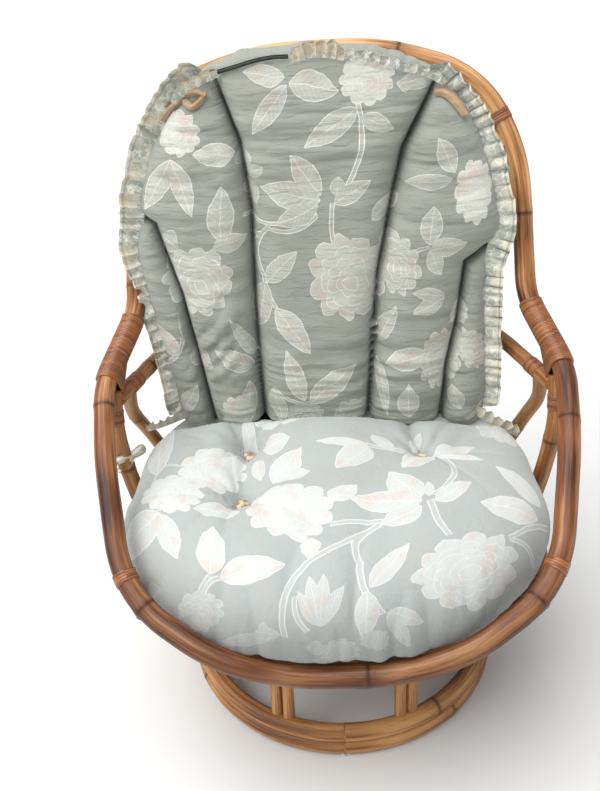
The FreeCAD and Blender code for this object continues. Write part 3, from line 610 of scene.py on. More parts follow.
def pole(name, path, diameter, material, stands_for, body="seat", closed=False, joint_gap=0.3, sides=28):
    """A cane pole along a path: a swelling and a scar at each joint, and a slightly uneven girth."""
    _, side, across = frames_along(path, closed)
    length = walked(path)
    radius = np.full(len(path), diameter / 2)
    radius *= 1 + 0.012 * np.sin(length * 23 + len(name)) + 0.008 * np.sin(length * 61 + 1.3)
    joint = np.zeros(len(path))
    place = joint_gap * (0.3 + 0.4 * rng.random())
    while place < length[-1] - 0.03:
        away = length - place
        radius += diameter * (0.028 * bell(away, 0.008) - 0.02 * bell(away - 0.004, 0.0025))
        joint = np.maximum(joint, bell(away - 0.003, 0.003) + 0.25 * bell(away, 0.02))
        place += joint_gap * (0.8 + 0.4 * rng.random())
    rows = len(path) - (1 if closed else 0)
    path, side, across, length, radius, joint = (
        v[:rows] for v in (path, side, across, length, radius, joint)
    )
    angle = ring_angles(sides)
    ring = radius[:, None] * (1 + 0.02 * np.cos(2 * angle[None, :] + length[:, None] * 3))
    own = np.stack([np.cos(angle) * ring, np.sin(angle) * ring, np.broadcast_to(length[:, None], ring.shape)], 2)
    points = path[:, None] + side[:, None] * own[..., :1] + across[:, None] * own[..., 1:2]
    faces = grid_faces(rows, sides, wrap_rows=True) if closed else tube_faces(rows, sides)
    obj = new_mesh(name, points.reshape(-1, 3), faces, material)
    give(obj, "grain", own.reshape(-1, 3))
    give(obj, "joint", np.repeat(joint, sides))
    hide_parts(stands_for)
    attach(obj, body)


def whole(half):
    """Both sides from a right-hand half that runs outwards."""
    return [(-x, y, z) for x, y, z in reversed(half)] + list(half)


def other_side(points):
    return [(-x, y, z) for x, y, z in points]


SPLICE = (355, 75, 619)
ARM = whole(mm([(74, -365, 304), (180, -366, 344), (323, -283, 395), (362, -111, 534), (376, 8, 587), SPLICE]))
BACK = whole(mm([(109, 357, 1023), (260, 299, 982), (326, 246, 864), (334, 142, 651), SPLICE]))
INNER = whole(mm([(104, 350, 994), (238, 297, 957), (291, 245, 873)]))
LUMBAR = whole(mm([(236, 318, 548), (302, 196, 548), (362, 24, 548)]))
RING_RIGHT = mm([(150, -333, 300), (336, -200, 300), (336, 130, 300), (190, 300, 300)])
SIDE_STRUT = mm([(368, 24, 566), (372, 8, 490), (360, 5, 390), (340, 3, 302)])
REAR_STRUT = mm([(350, 58, 546), (363, 98, 474), (352, 132, 418), (338, 152, 368), (316, 168, 300)])
POLE_WIDE, STRUT_WIDE, LUMBAR_WIDE, REAR_WIDE, ARCH_WIDE, LEG_WIDE, RING_WIDE = (
    0.034, 0.028, 0.026, 0.025, 0.024, 0.020, 0.031,
)
BASE_RADIUS, BASE_LOW, BASE_HIGH = 0.268, 0.0185, 0.0495
SIDES = (("right", 1), ("left", -1))

arm_path, back_path = run_points(ARM), run_points(BACK)
pole("arm_hoop", arm_path, POLE_WIDE, pole_red, "front_hoop", joint_gap=0.34)
pole("back_rail_hoop", back_path, POLE_WIDE, pole_gold, "back_hoop", joint_gap=0.36)
pole("inner_arch", run_points(INNER), ARCH_WIDE, pole_gold, "back_inner_arch")
pole("lumbar_rail", run_points(LUMBAR), LUMBAR_WIDE, pole_strut, "lumbar_hoop")
ring_path = run_points(RING_RIGHT + other_side(RING_RIGHT)[::-1], closed=True)
pole("seat_ring_pole", ring_path, STRUT_WIDE, pole_strut, "seat_ring", closed=True)
for word, flip in (("right", list), ("left", other_side)):
    pole(f"side_strut_pole_{word}", run_points(flip(SIDE_STRUT)), STRUT_WIDE, pole_strut, f"side_strut_{word}")
    pole(f"rear_strut_pole_{word}", run_points(flip(REAR_STRUT)), REAR_WIDE, pole_strut, f"rear_strut_{word}")

around = np.linspace(0, 2 * math.pi, 561)
for word, level in (("lower", BASE_LOW), ("upper", BASE_HIGH)):
    flat = [BASE_RADIUS * np.sin(around), -BASE_RADIUS * np.cos(around), np.full(len(around), level)]
    circle, node = np.stack(flat, 1), f"base_ring_{word}"
    pole(f"base_hoop_{word}", circle, RING_WIDE, pole_base, node, "base", closed=True, joint_gap=0.42)

# Each pair of thin arches stands this far from the middle, its two poles a centimetre to each side.
PAIR_OUT, PAIR_APART, ARCH_EASE = 0.105, 0.01, 0.026
for word, sign in (("left", -1), ("right", 1), ("front", -1), ("rear", 1)):
    crosswise = word in ("front", "rear")
    level = 0.206 if crosswise else 0.186
    for place, step in (("inner", -PAIR_APART), ("outer", PAIR_APART)):
        offset = sign * (PAIR_OUT + step)
        foot = math.sqrt(BASE_RADIUS**2 - offset**2) - 0.006
        bend = foot - ARCH_EASE
        arch = [(-foot, BASE_HIGH), (-bend, level), (0, level), (bend, level), (foot, BASE_HIGH)]
        corners = [(-y, offset, z) if crosswise else (offset, y, z) for y, z in arch]
        leg = run_points(corners, 0.42)
        pole(f"leg_{word}_{place}", leg, LEG_WIDE, pole_base, f"base_arch_{word}_{place}", "base", sides=24)

for name, obj in nodes.items():
    if name.startswith(("seat_rod", "cross_rail")):
        use = straight[0]
    elif name.startswith(("back_spindle", "front_post")):
        use = straight[2]
    elif name in ("swivel_base_plate", "rocker_yoke", "seat_bracket"):
        use = black_steel
    elif name == "floor_glides":
        use = nylon
    else:
        use = bright_steel
    obj.data.materials.clear()
    obj.data.materials.append(use)

# --- springs -----------------------------------------------------------------------------------

SPRING_ACROSS, SPRING_RADIUS, SPRING_WIRE, SPRING_TURNS = 0.030, 0.011, 0.0035, 6.5


def make_springs():
    """Coil springs with closed ends between the yoke and the bracket."""
    along = np.linspace(0, 1, 420)
    rise = share_of((along - 0.12) / 0.76)
    ring = ring_angles(14)
    angle = along * SPRING_TURNS * 2 * math.pi
    for word in ("front", "rear"):
        low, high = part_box(f"rocker_springs_{word}")
        middle = (low.y + high.y) / 2
        points, faces = [], []
        for x in (-SPRING_ACROSS, SPRING_ACROSS):
            path = np.stack([
                x + SPRING_RADIUS * np.cos(angle),
                middle + SPRING_RADIUS * np.sin(angle),
                low.z + SPRING_WIRE / 2 + (high.z - low.z - SPRING_WIRE) * rise,
            ], 1)
            _, side, up = frames_along(path)
            wire = side[:, None] * np.cos(ring)[None, :, None] + up[:, None] * np.sin(ring)[None, :, None]
            tube = tube_faces(len(path), len(ring))
            faces += [tuple(len(points) + k for k in face) for face in tube]
            points += list((path[:, None] + SPRING_WIRE / 2 * wire).reshape(-1, 3))
        piece = new_mesh(f"spring_coils_{word}", points, faces, bright_steel)
        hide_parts(f"rocker_springs_{word}")
        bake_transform(piece)


make_springs()

# --- cane bindings -----------------------------------------------------------------------------

STRAND, STRAND_TILT = 0.0042, 0.004


def hull_ring(circles, angle):
    """The outline round one or two circles, as points at the given normal angles."""
    normal = np.stack([np.cos(angle), np.sin(angle)], 1)
    reach = np.stack([normal @ np.array(c) + r for c, r in circles], 1)
    best = reach.argmax(1)
    centres = np.array([c for c, _ in circles])[best]
    radii = np.array([r for _, r in circles])[best]
    return centres + normal * radii[:, None], normal


def binding(name, path, girth, stands_for=(), beside=None, sides=40):
    """Cane wound round a pole of this radius. beside(share) gives a second pole that it also takes in."""
    _, side, across = frames_along(path)
    length = walked(path)
    angle = ring_angles(sides)
    rows, grains, turns, gaps = [], [], [], []
    for i in range(len(path)):
        circles = [((0.0, 0.0), girth)]
        second = beside(length[i] / length[-1]) if beside else None
        if second:
            away = np.array(Vector(second[0]) - Vector(path[i]))
            circles.append(((float(away @ side[i]), float(away @ across[i])), second[1]))
        outline, normal = hull_ring(circles, angle)
        wound = (length[i] + STRAND_TILT * angle / (2 * math.pi)) / STRAND
        phase = wound - np.floor(wound)
        crown = np.sqrt(share_of(1 - (2 * phase - 1) ** 2))
        full = 0.4 + 0.6 * min(1.0, min(i, len(path) - 1 - i) / 2.0)
        outline = outline + normal * ((0.0013 * crown - 0.0006) * full)[:, None]
        rows.append(path[i] + outline[:, :1] * side[i] + outline[:, 1:] * across[i])
        grains.append(np.stack([outline[:, 0], outline[:, 1], np.full(sides, length[i])], 1))
        turns.append(wound)
        gaps.append(share_of(1 - crown * 1.5))
    inner = [path[i] + (rows[i] - path[i]) * 0.86 for i in (0, -1)]
    obj = new_mesh(name, np.concatenate([inner[0], *rows, inner[1]]), grid_faces(len(path) + 2, sides), cane)
    for key, values in (("grain", grains), ("turn", turns), ("gap", gaps)):
        give(obj, key, np.concatenate([values[0], *values, values[-1]]))
    if stands_for:
        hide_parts(*stands_for)
    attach(obj, "seat")


def part_of(path, near, length, spacing=0.0006):
    """The part of a path that is centred on the point nearest to `near`."""
    fine = resample(path, spacing)
    middle = int(np.argmin(np.linalg.norm(fine - np.array(near), axis=1)))
    half = int(length / spacing / 2)
    return fine[max(0, middle - half) : middle + half + 1]


# Name, path, a place near its middle, the pole's width, length, and the node that the pair stands for.
SMALL_WRAPS = (
    ("strut_wrap", SIDE_STRUT, (0.3705, 0.014, 0.519), STRUT_WIDE, 0.026, "strut_bindings"),
    ("lumbar_wrap", LUMBAR, (0.345, 0.075, 0.548), LUMBAR_WIDE, 0.034, "lumbar_bindings"),
    ("front_wrap", ARM, (0.327, -0.2655, 0.4095), POLE_WIDE, 0.019, "front_bindings"),
)
for word, sign in SIDES:

    def strut_head(share, sign=sign):
        """The head of a side strut joins the shoulder wrap over its lower half."""
        if share < 0.5:
            return None
        low, high = (Vector((sign * x, y, z)) for x, y, z in ((0.368, 0.020, 0.560), (0.366, 0.046, 0.606)))
        return high.lerp(low, (share - 0.5) / 0.5), STRUT_WIDE / 2 + 0.002

    over = np.concatenate([arm_path[-50:], back_path[::-1][1:50]]) * (sign, 1, 1)
    shoulder = part_of(over[::-1], (sign * 0.355, 0.072, 0.617), 0.132)
    node = f"shoulder_binding_{word}"
    binding(f"shoulder_wrap_{word}", shoulder, POLE_WIDE / 2 + 0.0022, [node], beside=strut_head, sides=56)
for name, corners, near, wide, length, node in SMALL_WRAPS:
    path = part_of(run_points(corners), near, length)
    for word, sign in SIDES:
        binding(f"{name}_{word}", path * (sign, 1, 1), wide / 2 + 0.001, [node] if sign > 0 else [])
for word, sign in SIDES:

    def arch_end(share, sign=sign):
        return Vector((sign * 0.2655, 0.27, 0.915)), ARCH_WIDE / 2 + 0.001

    path = part_of(run_points(BACK), (0.294, 0.2715, 0.922), 0.018) * (sign, 1, 1)
    node = ["arch_bindings"] if sign > 0 else []
    binding(f"crown_wrap_{word}", path, POLE_WIDE / 2 + 0.001, node, beside=arch_end, sides=56)

# --- cloth shapes ------------------------------------------------------------------------------


def smooth_share(value):
    return value * value * (3 - 2 * value)


def noise2(u, v, seed=0.0):
    """Smooth noise from 0 to 1 on a plane."""
    iu, iv = np.floor(u), np.floor(v)
    fu, fv = smooth_share(u - iu), smooth_share(v - iv)

    def corner(a, b):
        h = np.sin(a * 127.1 + b * 311.7 + seed * 74.7) * 43758.5453
        return h - np.floor(h)

    low = corner(iu, iv) * (1 - fu) + corner(iu + 1, iv) * fu
    high = corner(iu, iv + 1) * (1 - fu) + corner(iu + 1, iv + 1) * fu
    return low * (1 - fv) + high * fv


def folds(u, v, seed=0.0):
    """Rounded folds with sharp valleys, from -0.5 to 0.5, in two sizes."""
    first = np.abs(2 * noise2(u, v, seed) - 1)
    second = np.abs(2 * noise2(u * 2.1 + 5, v * 2.1, seed + 3) - 1)
    return 0.7 * first + 0.3 * second - 0.4


def ball_grid():
    """Unit directions of a box's grid pushed out to a ball, with shared edges, and its faces.

    Top and bottom are PAD_ROUND squares each way, and the four sides are PAD_ROUND by PAD_DEEP high."""
    wide, tall = (np.tan(np.linspace(-1, 1, n + 1) * math.pi / 4) for n in (PAD_ROUND, PAD_DEEP))
    a, b = np.meshgrid(wide, wide, indexing="ij")
    one = np.ones_like(a)
    p, q = np.meshgrid(wide, tall, indexing="ij")
    side = np.ones_like(p)
    sheets = [(a, b, one), (b, a, -one), (side, p, q), (-side.T, p.T, q.T), (p.T, side.T, q.T), (p, -side, q)]
    points, faces, known = [], [], {}
    for sheet in sheets:
        index = []
        for place in np.stack(sheet, 2).reshape(-1, 3):
            key = tuple(np.round(place, 6))
            if key not in known:
                known[key] = len(points)
                points.append(place)
            index.append(known[key])
        index = np.array(index).reshape(sheet[0].shape)
        corners = (index[:-1, :-1], index[1:, :-1], index[1:, 1:], index[:-1, 1:])
        faces += [tuple(face) for face in np.stack(corners, 2).reshape(-1, 4).tolist()]
    return unit_rows(np.array(points)), faces


def normals_of(points, faces):
    faces = np.array(faces)
    p = points[faces]
    n = np.cross(p[:, 2] - p[:, 0], p[:, 3] - p[:, 1])
    total = np.zeros_like(points)
    for k in range(4):
        np.add.at(total, faces[:, k], n)
    return total / np.maximum(np.linalg.norm(total, axis=1), 1e-12)[:, None]


def print_map(obj, front, rear, is_front):
    """Lays the cloth's flat coordinates, in centimetres, on each face from its own side's map."""
    loops = np.zeros(len(obj.data.loops), int)
    obj.data.loops.foreach_get("vertex_index", loops)
    totals = np.array([p.loop_total for p in obj.data.polygons])
    uv = np.where(np.repeat(is_front, totals)[:, None], front[loops], rear[loops])
    obj.data.uv_layers.new(name="print").data.foreach_set("uv", uv.astype(np.float32).ravel())


def power(value, exponent):
    return np.sign(value) * np.abs(value) ** exponent


def line_distance(x, z, line):
    """Distance to a chain of points on a plane."""
    best = np.full(x.shape, 9.0)
    for (x0, z0), (x1, z1) in zip(line, line[1:]):
        dx, dz = x1 - x0, z1 - z0
        t = share_of(((x - x0) * dx + (z - z0) * dz) / math.hypot(dx, dz) ** 2)
        best = np.minimum(best, np.hypot(x - x0 - dx * t, z - z0 - dz * t))
    return best


def table(pairs, z):
    at, value = zip(*pairs)
    return np.interp(z, at, value)


def pad_piece(obj, stands_for):
    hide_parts(stands_for)
    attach(obj, "seat")
    return obj


# --- seat cushion ------------------------------------------------------------------------------

PAD_ROUND, PAD_DEEP = 172, 56
SEAT_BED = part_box("seat_rod_1")[1].z + 0.0012
SEAT_X, SEAT_Y, SEAT_Z = -0.005, -0.055, 0.384
SEAT_UP, SEAT_DOWN = 0.090, 0.056
FULLEST_Y = -0.17

# Plan places of the buttons, and the lines of the creases with their depth and width.
BUTTONS = LEFT, NEAR_LEFT, RIGHT = mm([(-149, 20), (-151, -128), (148, -16)])
CREASES = (
    ([LEFT, (-0.155, -0.05), NEAR_LEFT], 0.017, 0.010),
    ([LEFT, (-0.165, 0.06), (-0.172, 0.10)], 0.010, 0.010),
    ([LEFT, (-0.120, 0.05), (-0.100, 0.09)], 0.009, 0.009),
    ([LEFT, (-0.20, 0.01), (-0.25, 0.03)], 0.006, 0.010),
    ([NEAR_LEFT, (-0.11, -0.10), (-0.06, -0.09)], 0.007, 0.011),
    ([RIGHT, (0.138, 0.03), (0.130, 0.08)], 0.014, 0.009),
    ([(0.05, -0.20), (0.03, -0.28), (0.02, -0.35)], 0.006, 0.012),
    ([(-0.04, -0.22), (-0.07, -0.29), (-0.08, -0.35)], 0.006, 0.012),
    ([RIGHT, (0.20, 0.01), (0.27, 0.04)], 0.006, 0.012),
    ([NEAR_LEFT, (-0.16, -0.24), (-0.165, -0.31)], 0.004, 0.014),
)
# Heights by x: the seat cushion's top along its rear, and the back cushion's lower edge on it.
REAR_CREST = mm([
    (-310, 466), (-265, 476), (-160, 482), (-100, 483), (-16, 478), (70, 470),
    (115, 462), (133, 454), (155, 460), (200, 455), (271, 440),
])
BACK_FOOT = mm([(-300, 430), (-250, 431), (-190, 451.5), (40, 451.5), (130, 442), (190, 440), (250, 422)])


def seat_reach(angle):
    """Half size of the seat cushion in plan, by direction. The front is deeper and rounder than the rear."""
    c, s = np.cos(angle), np.sin(angle)
    deep = np.where(s < 0, 0.318, 0.272)
    squareness = np.where(s < 0, 2.3, 2.7)
    return (np.abs(c / 0.336) ** squareness + np.abs(s / deep) ** squareness) ** (-1 / squareness)


def walked_out(rise, reach, sign):
    """How far the cloth runs from the middle of the top, or of the underside, to each point."""
    e = math.pi / 2 + (rise * sign - math.pi / 2)[:, None] * np.linspace(0, 1, 60)[None]
    out = share_of(np.cos(e)) ** 0.62 * reach[:, None]
    height = power(np.sin(e), 0.85) * (SEAT_UP if sign > 0 else SEAT_DOWN)
    return np.hypot(np.diff(out, axis=1), np.diff(height, axis=1)).sum(1)


def pull_down(x, y, z, top):
    """The seat's height with the dimples of its buttons and the creases that run between them."""
    for bx, by in BUTTONS:
        away = np.hypot(x - bx, y - by)
        turn = np.arctan2(y - by, x - bx)
        z -= top * (0.011 * bell(away, 0.021) + 0.022 * np.exp(-((away / 0.06) ** 1.3)))
        ray = np.abs(2 * noise2(turn * 2.4 + 9, away * 7, bx * 31 + by * 7) - 1)
        z -= top * 0.016 * (1 - ray) ** 2 * np.exp(-away / 0.075) * share_of(away / 0.02)
    for line, depth, wide in CREASES:
        away = line_distance(x, y, line)
        z -= top * depth * (np.exp(-away / wide) * 0.7 + 0.3 * bell(away, 3 * wide))
    return z


def make_seat():
    ball, faces = ball_grid()
    angle = np.arctan2(ball[:, 1], ball[:, 0])
    rise = np.arcsin(np.clip(ball[:, 2], -1, 1))
    out, up = np.cos(rise) ** 0.46, power(np.sin(rise), 0.85)
    reach = seat_reach(angle)
    x = SEAT_X + out * reach * np.cos(angle)
    y = SEAT_Y + out * reach * np.sin(angle)
    x *= 1 + 0.045 * bell(y - FULLEST_Y, 0.10)
    z = SEAT_Z + np.where(up > 0, SEAT_UP, SEAT_DOWN) * up
    top = share_of(up * 1.6)
    z += top * 0.008 * bell(y - FULLEST_Y, 0.12)
    z -= top * 0.022 * share_of((y + 0.03) / 0.12) ** 1.5
    z -= 0.034 * share_of((-y - 0.12) / 0.2) ** 1.3 * (1 - np.abs(up) ** 1.5)
    crest = table(REAR_CREST, x) + 0.004 * (noise2(x * 30, y * 6, 31.0) - 0.5)
    rising = smooth_share(share_of((y + 0.06) / 0.10)) * share_of(up * 2.2 - 0.6)
    z += (crest - z) * rising * 0.85
    z = pull_down(x, y, z, top)
    points = np.stack([x, y, z], 1)

    normal = normals_of(points, faces)
    gathers = folds(angle * 11, rise * 1.2, 4.0) * 0.0045 * bell(rise + 0.05, 0.5)
    broad = noise2(x * 14 + 3, y * 14, 8.0) - 0.5
    rear = share_of((y - 0.02) / 0.12) * top
    front = share_of((-0.24 - y) / 0.08)
    lumps = broad * 0.009 * top + rear * folds(x * 32, y * 5, 6.0) * 0.007
    points += normal * gathers[:, None]
    points += normal * lumps[:, None]
    points += normal * (front * folds(x * 20 + 7, z * 8, 12.0) * 0.009)[:, None]

    points[:, 2] = np.maximum(points[:, 2], SEAT_BED)
    under = share_of((points[:, 1] - 0.050) / 0.030)
    ceiling = table(BACK_FOOT, points[:, 0]) - 0.001 + (1 - under**0.6) * 0.05
    points[:, 2] = np.minimum(points[:, 2], np.maximum(ceiling, 0.428))
    obj = new_mesh("seat_pad", points, faces, print_seat)
    flat = np.stack([np.cos(angle), np.sin(angle)], 1)
    upper = flat * walked_out(rise, reach, 1)[:, None] * 100
    lower = flat * walked_out(rise, reach, -1)[:, None] * (-100, 100)
    print_map(obj, upper, lower, rise[np.array(faces)].mean(1) > -0.55)
    return pad_piece(obj, "seat_cushion")


seat_pad = make_seat()

# --- back cushion ------------------------------------------------------------------------------

# Depth of each face by height, the outline seen from the front, and the seams between the channels.
FRONT_FACE = mm([(440, 80), (480, 85), (520, 91), (800, 148), (980, 196), (1060, 214)])
REAR_FACE = mm([(440, 248), (700, 249), (880, 254), (960, 262), (1020, 286), (1060, 290)])
OUTLINE = mm([
    (-284, 470), (-296, 560), (-312, 660), (-325, 760), (-310, 840), (-282, 920), (-232, 990), (-202, 1024),
    (-125, 1052), (-10, 1058), (90, 1048), (172, 1018), (208, 990), (250, 924), (277, 840), (290, 775),
    (270, 722), (270, 660), (274, 560), (278, 470), (262, 385), (150, 375), (0, 372), (-170, 375), (-268, 385),
])
SEAMS = [mm(line) for line in (
    [(-124, 440), (-126, 560), (-127, 664), (-123, 817), (-135, 921), (-171, 1020)],
    [(60, 440), (70, 574), (82, 707), (107, 827), (127, 905), (190, 1015)],
    [(-214, 440), (-229, 545), (-252, 680), (-286, 800), (-318, 817)],
    [(190, 430), (199, 540), (217, 622), (229, 716), (262, 737), (300, 742)],
)]
BACK_X, BACK_Z = -0.012, 0.752
# The second number is how wide the painted shade along each seam is.
GROOVE, SEAM_SHADE_WIDTH = 0.007, 0.0036


def back_reach(angle):
    """Distance from the middle of the back cushion to its outline, by direction."""
    line = np.array(OUTLINE + OUTLINE[:1])
    fine = resample(np.c_[line, np.zeros(len(line))], 0.004)[:, :2]
    for _ in range(14):
        fine = (np.roll(fine, 1, 0) + fine * 2 + np.roll(fine, -1, 0)) / 4
    dx, dz = fine[:, 0] - BACK_X, fine[:, 1] - BACK_Z
    turn = np.arctan2(dz, dx)
    order = np.argsort(turn)
    return np.interp(angle, turn[order], np.hypot(dx, dz)[order], period=2 * math.pi)


def back_surface(x, z, near, lift):
    """How far the front face stands out, with channels and puckers. near is the distance to the nearest seam,
    and lift is 0 at the rim."""

    def fading(width):
        return np.exp(-near / width)

    crown = np.sqrt(share_of(1 - (1 - share_of(np.hypot(near, 0.003) / 0.062)) ** 2))
    swell = 0.046 * crown - 0.020 - 0.018 * bell(near, GROOVE)
    belt = 0.8 + 0.8 * bell(z - 0.90, 0.055) + 0.8 * bell(z - 0.53, 0.10)
    pucker = folds(x * 7 + z * 3, z * 46, 2.0) * (0.0075 * belt + 0.0085 * fading(0.022))
    pucker = pucker + folds(x * 10 - z * 2, z * 34 + x * 5, 9.0) * 0.009 * (fading(0.05) - 0.7 * fading(0.008))
    fine = 0.0022 * belt * (1 - 0.8 * fading(0.012)) + 0.0005 * fading(0.018)
    pucker = pucker + folds(x * 13 + 2, z * 95 + x * 9, 17.0) * fine
    slant = share_of((-0.14 - x) / 0.04) * share_of((x + 0.27) / 0.04) * bell(z - 0.62, 0.09)
    pucker = pucker + slant * folds((x + z) * 5, (z - x * 0.9) * 30, 5.0) * 0.016
    return (swell + pucker * (1 - 0.85 * bell(near, GROOVE))) * lift


def make_back():
    ball, faces = ball_grid()
    ball = ball[:, [0, 2, 1]]
    faces = [f[::-1] for f in faces]
    angle = np.arctan2(ball[:, 2], ball[:, 0])
    rise = np.arcsin(np.clip(-ball[:, 1], -1, 1))
    out, up = np.cos(rise) ** 0.5, power(np.sin(rise), 0.6)
    reach = back_reach(angle)
    x = BACK_X + out * reach * np.cos(angle)
    z = BACK_Z + out * reach * np.sin(angle)
    front, rear = table(FRONT_FACE, z), table(REAR_FACE, z)
    lift = share_of(up)
    near = np.min([line_distance(x, z, line) for line in SEAMS], axis=0)
    y = (front + rear) / 2 - up * ((rear - front) / 2) - back_surface(x, z, near, lift)
    wings = share_of((np.abs(x + 0.01) - 0.16) / 0.14)
    y = y - wings**1.5 * 0.010 * lift - 0.02 * wings * share_of(-up / 0.6) ** 1.5
    points = np.stack([x, y, z], 1)
    rim = bell(rise, 0.45) * share_of((math.pi - np.abs(angle)) / 0.12)
    points += normals_of(points, faces) * (folds(angle * 16, rise * 1.5, 21.0) * 0.005 * rim)[:, None]
    points[:, 2] = np.maximum(points[:, 2], table(BACK_FOOT, points[:, 0]))
    obj = new_mesh("back_pad", points, faces, print_back)
    # Painted shade along the seams, which the print darkens to near black.
    give(obj, "seam_shade", bell(near, SEAM_SHADE_WIDTH) * share_of(lift * 3))
    round_side = np.clip(x / 0.1, -1, 1) * np.clip(1.3 - np.abs(rise) / 0.55, 0, 1)
    depth = np.maximum(np.abs(points[:, 1] - np.where(up > 0, front, rear)) - 0.01, 0)
    u, v = (x + depth * round_side) * 100, z * 102
    print_map(obj, np.stack([u, v], 1), np.stack([-u, v], 1), rise[np.array(faces)].mean(1) > 0)
    return pad_piece(obj, "back_cushion")


back_pad = make_back()

# --- frills and ties ---------------------------------------------------------------------------

CLOTH_STEP, CRUMPLE = 0.0015, 0.002


def frill_cloth(name, ground, edge_tone, seed, print_share=1.0):
    """Plain side of the cloth with scraps of the print, and a worn, yellowed hem."""
    net = Net(name)
    edge = net.attribute("edge", "Fac")
    at = net.attribute("print") + (seed, seed, 0.0)
    weave = at.scale(90, 90, 8).noise(1.0, 2)
    base = net.mix(weave.step(0.3, 0.7), net.mix(0.14, ground, BLACK), ground)
    base = net.mix(at.noise(0.35, 1).step(0.5, 0.56) * (0.6 * print_share), base, colour(224, 222, 208))
    lines = abs(at.noise(0.55, 2) - 0.5).step(0.035, 0.02)
    base = net.mix(lines * (0.55 * print_share), base, colour(238, 238, 230))
    age = at.noise(0.22, 2).step(0.4, 0.65) * 0.75
    base = net.mix(age * edge.step(0.1, 0.9), base, edge_tone)
    hem = edge.step(0.8, 0.84) * edge.step(0.92, 0.88)
    base = net.mix(hem * 0.35, base, (0.05, 0.05, 0.04, 1))
    weave = net.bump(weave, 0.0006, 0.6)
    return net.finish(Base_Color=base, Roughness=0.9, Sheen_Weight=0.25, Specular_IOR_Level=0.25, Normal=weave)


left_cloth = frill_cloth("frill_cloth_left", colour(170, 176, 164), colour(214, 202, 172), 3.0)
right_cloth = frill_cloth("frill_cloth_right", colour(176, 181, 172), colour(222, 212, 186), 31.0)
tan_cloth = frill_cloth("tie_cloth_tan", colour(186, 158, 126), colour(158, 120, 84), 57.0, 0.15)
# Painted shade: a dark strip along the back cushion's top left edge, standing in for the shadow line between the
# cushion and the hoop.
shade_strip_cloth = frill_cloth("shade_strip", colour(66, 70, 64), colour(46, 48, 44), 71.0, 0.0)
cream_cloth = frill_cloth("tie_cloth_cream", colour(206, 202, 186), colour(224, 214, 190), 91.0, 0.3)
pink_cloth = frill_cloth("tuft_cloth", colour(196, 190, 168), colour(212, 178, 152), 83.0)


def sheet_piece(name, rows, prints, edge, material):
    """A strip of cloth from its rows of points, and the print and edge values there."""
    count = len(rows[0])
    points = np.stack(rows, 1).reshape(-1, 3)
    prints = np.stack(prints, 1).reshape(-1, 2)
    obj = new_mesh(name, points, grid_faces(count, len(rows), wrap_columns=False), material)
    print_map(obj, prints, prints, [True] * len(obj.data.polygons))
    give(obj, "edge", np.tile(edge, count))
    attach(obj, "seat")


def cloth_strip(name, line, outward, width, pitch, height, material, seed):
    """A gathered strip of cloth sewn along a line: it waves more towards its free edge."""
    tangent, _, _ = frames_along(line)
    outward = unit_rows(outward - tangent * np.sum(outward * tangent, 1)[:, None])
    lift = np.cross(tangent, outward)
    s = walked(line)
    zero = np.zeros_like(s)
    phase = 2 * math.pi * (s / pitch + 1.3 * noise2(s / (pitch * 2.3), zero, seed))
    size = 0.45 + 1.0 * noise2(s / (pitch * 1.4), zero + 3, seed)
    reach = 1 + 0.22 * (noise2(s / (pitch * 1.7), zero + 7, seed) - 0.5)
    reach = reach * share_of(np.minimum(s, s[-1] - s) / 0.02 + 0.25) ** 0.5
    shares = np.linspace(0, 1, 12)
    rows, prints = [], []
    for k in range(12):
        share = k / 11
        wave = height * size * share**0.75
        step = width * share * reach
        swing = phase + share * 0.7
        rows.append(
            line
            + outward * (step + 0.12 * wave * np.cos(phase * 0.5))[:, None]
            + lift * (wave * (np.sin(swing) + 0.3 * np.sin(phase * 2.3 + seed)))[:, None]
            + tangent * (0.55 * wave * np.cos(swing))[:, None]
        )
        prints.append(np.stack([s * 165 + seed * 13, step * 100 + seed * 5], 1))
    sheet_piece(name, rows, prints, shares, material)


def ribbon(name, points, width, material, seed):
    """A folded strip of cloth along a smooth line, such as a tie or its bow."""
    control = np.array(points, float)
    n = len(control)
    line = []
    for t in np.linspace(0, n - 1, 60):
        i = min(int(t), n - 2)
        f = t - i
        p0, p1, p2, p3 = control[max(i - 1, 0)], control[i], control[i + 1], control[min(i + 2, n - 1)]
        square, cube = 2 * p0 - 5 * p1 + 4 * p2 - p3, 3 * p1 - p0 - 3 * p2 + p3
        line.append(0.5 * (2 * p1 + (p2 - p0) * f + square * f * f + cube * f**3))
    line = resample(np.array(line), CLOTH_STEP)
    tangent, _, _ = frames_along(line)
    face = np.array((0, -1, 0.25))
    face = unit_rows(face - tangent * (tangent @ face)[:, None])
    side = np.cross(tangent, face)
    s = np.arange(len(line)) * CLOTH_STEP
    rows, prints = [], []
    for k in range(9):
        share = k / 8 - 0.5
        grain = noise2(s / 0.012, np.full_like(s, share * 3), seed)
        crumple = CRUMPLE * (grain - 0.5) * 2 + CRUMPLE * math.cos(share * 9)
        rows.append(line + side * (share * width) + face * crumple[:, None])
        prints.append(np.stack([s * 100 + seed * 17, np.full_like(s, share * width * 100)], 1))
    edge, below = np.abs(np.linspace(-1, 1, 9)), seat_pad if name.startswith("bow") else back_pad
    sheet_piece(name, rows, prints, edge, material)


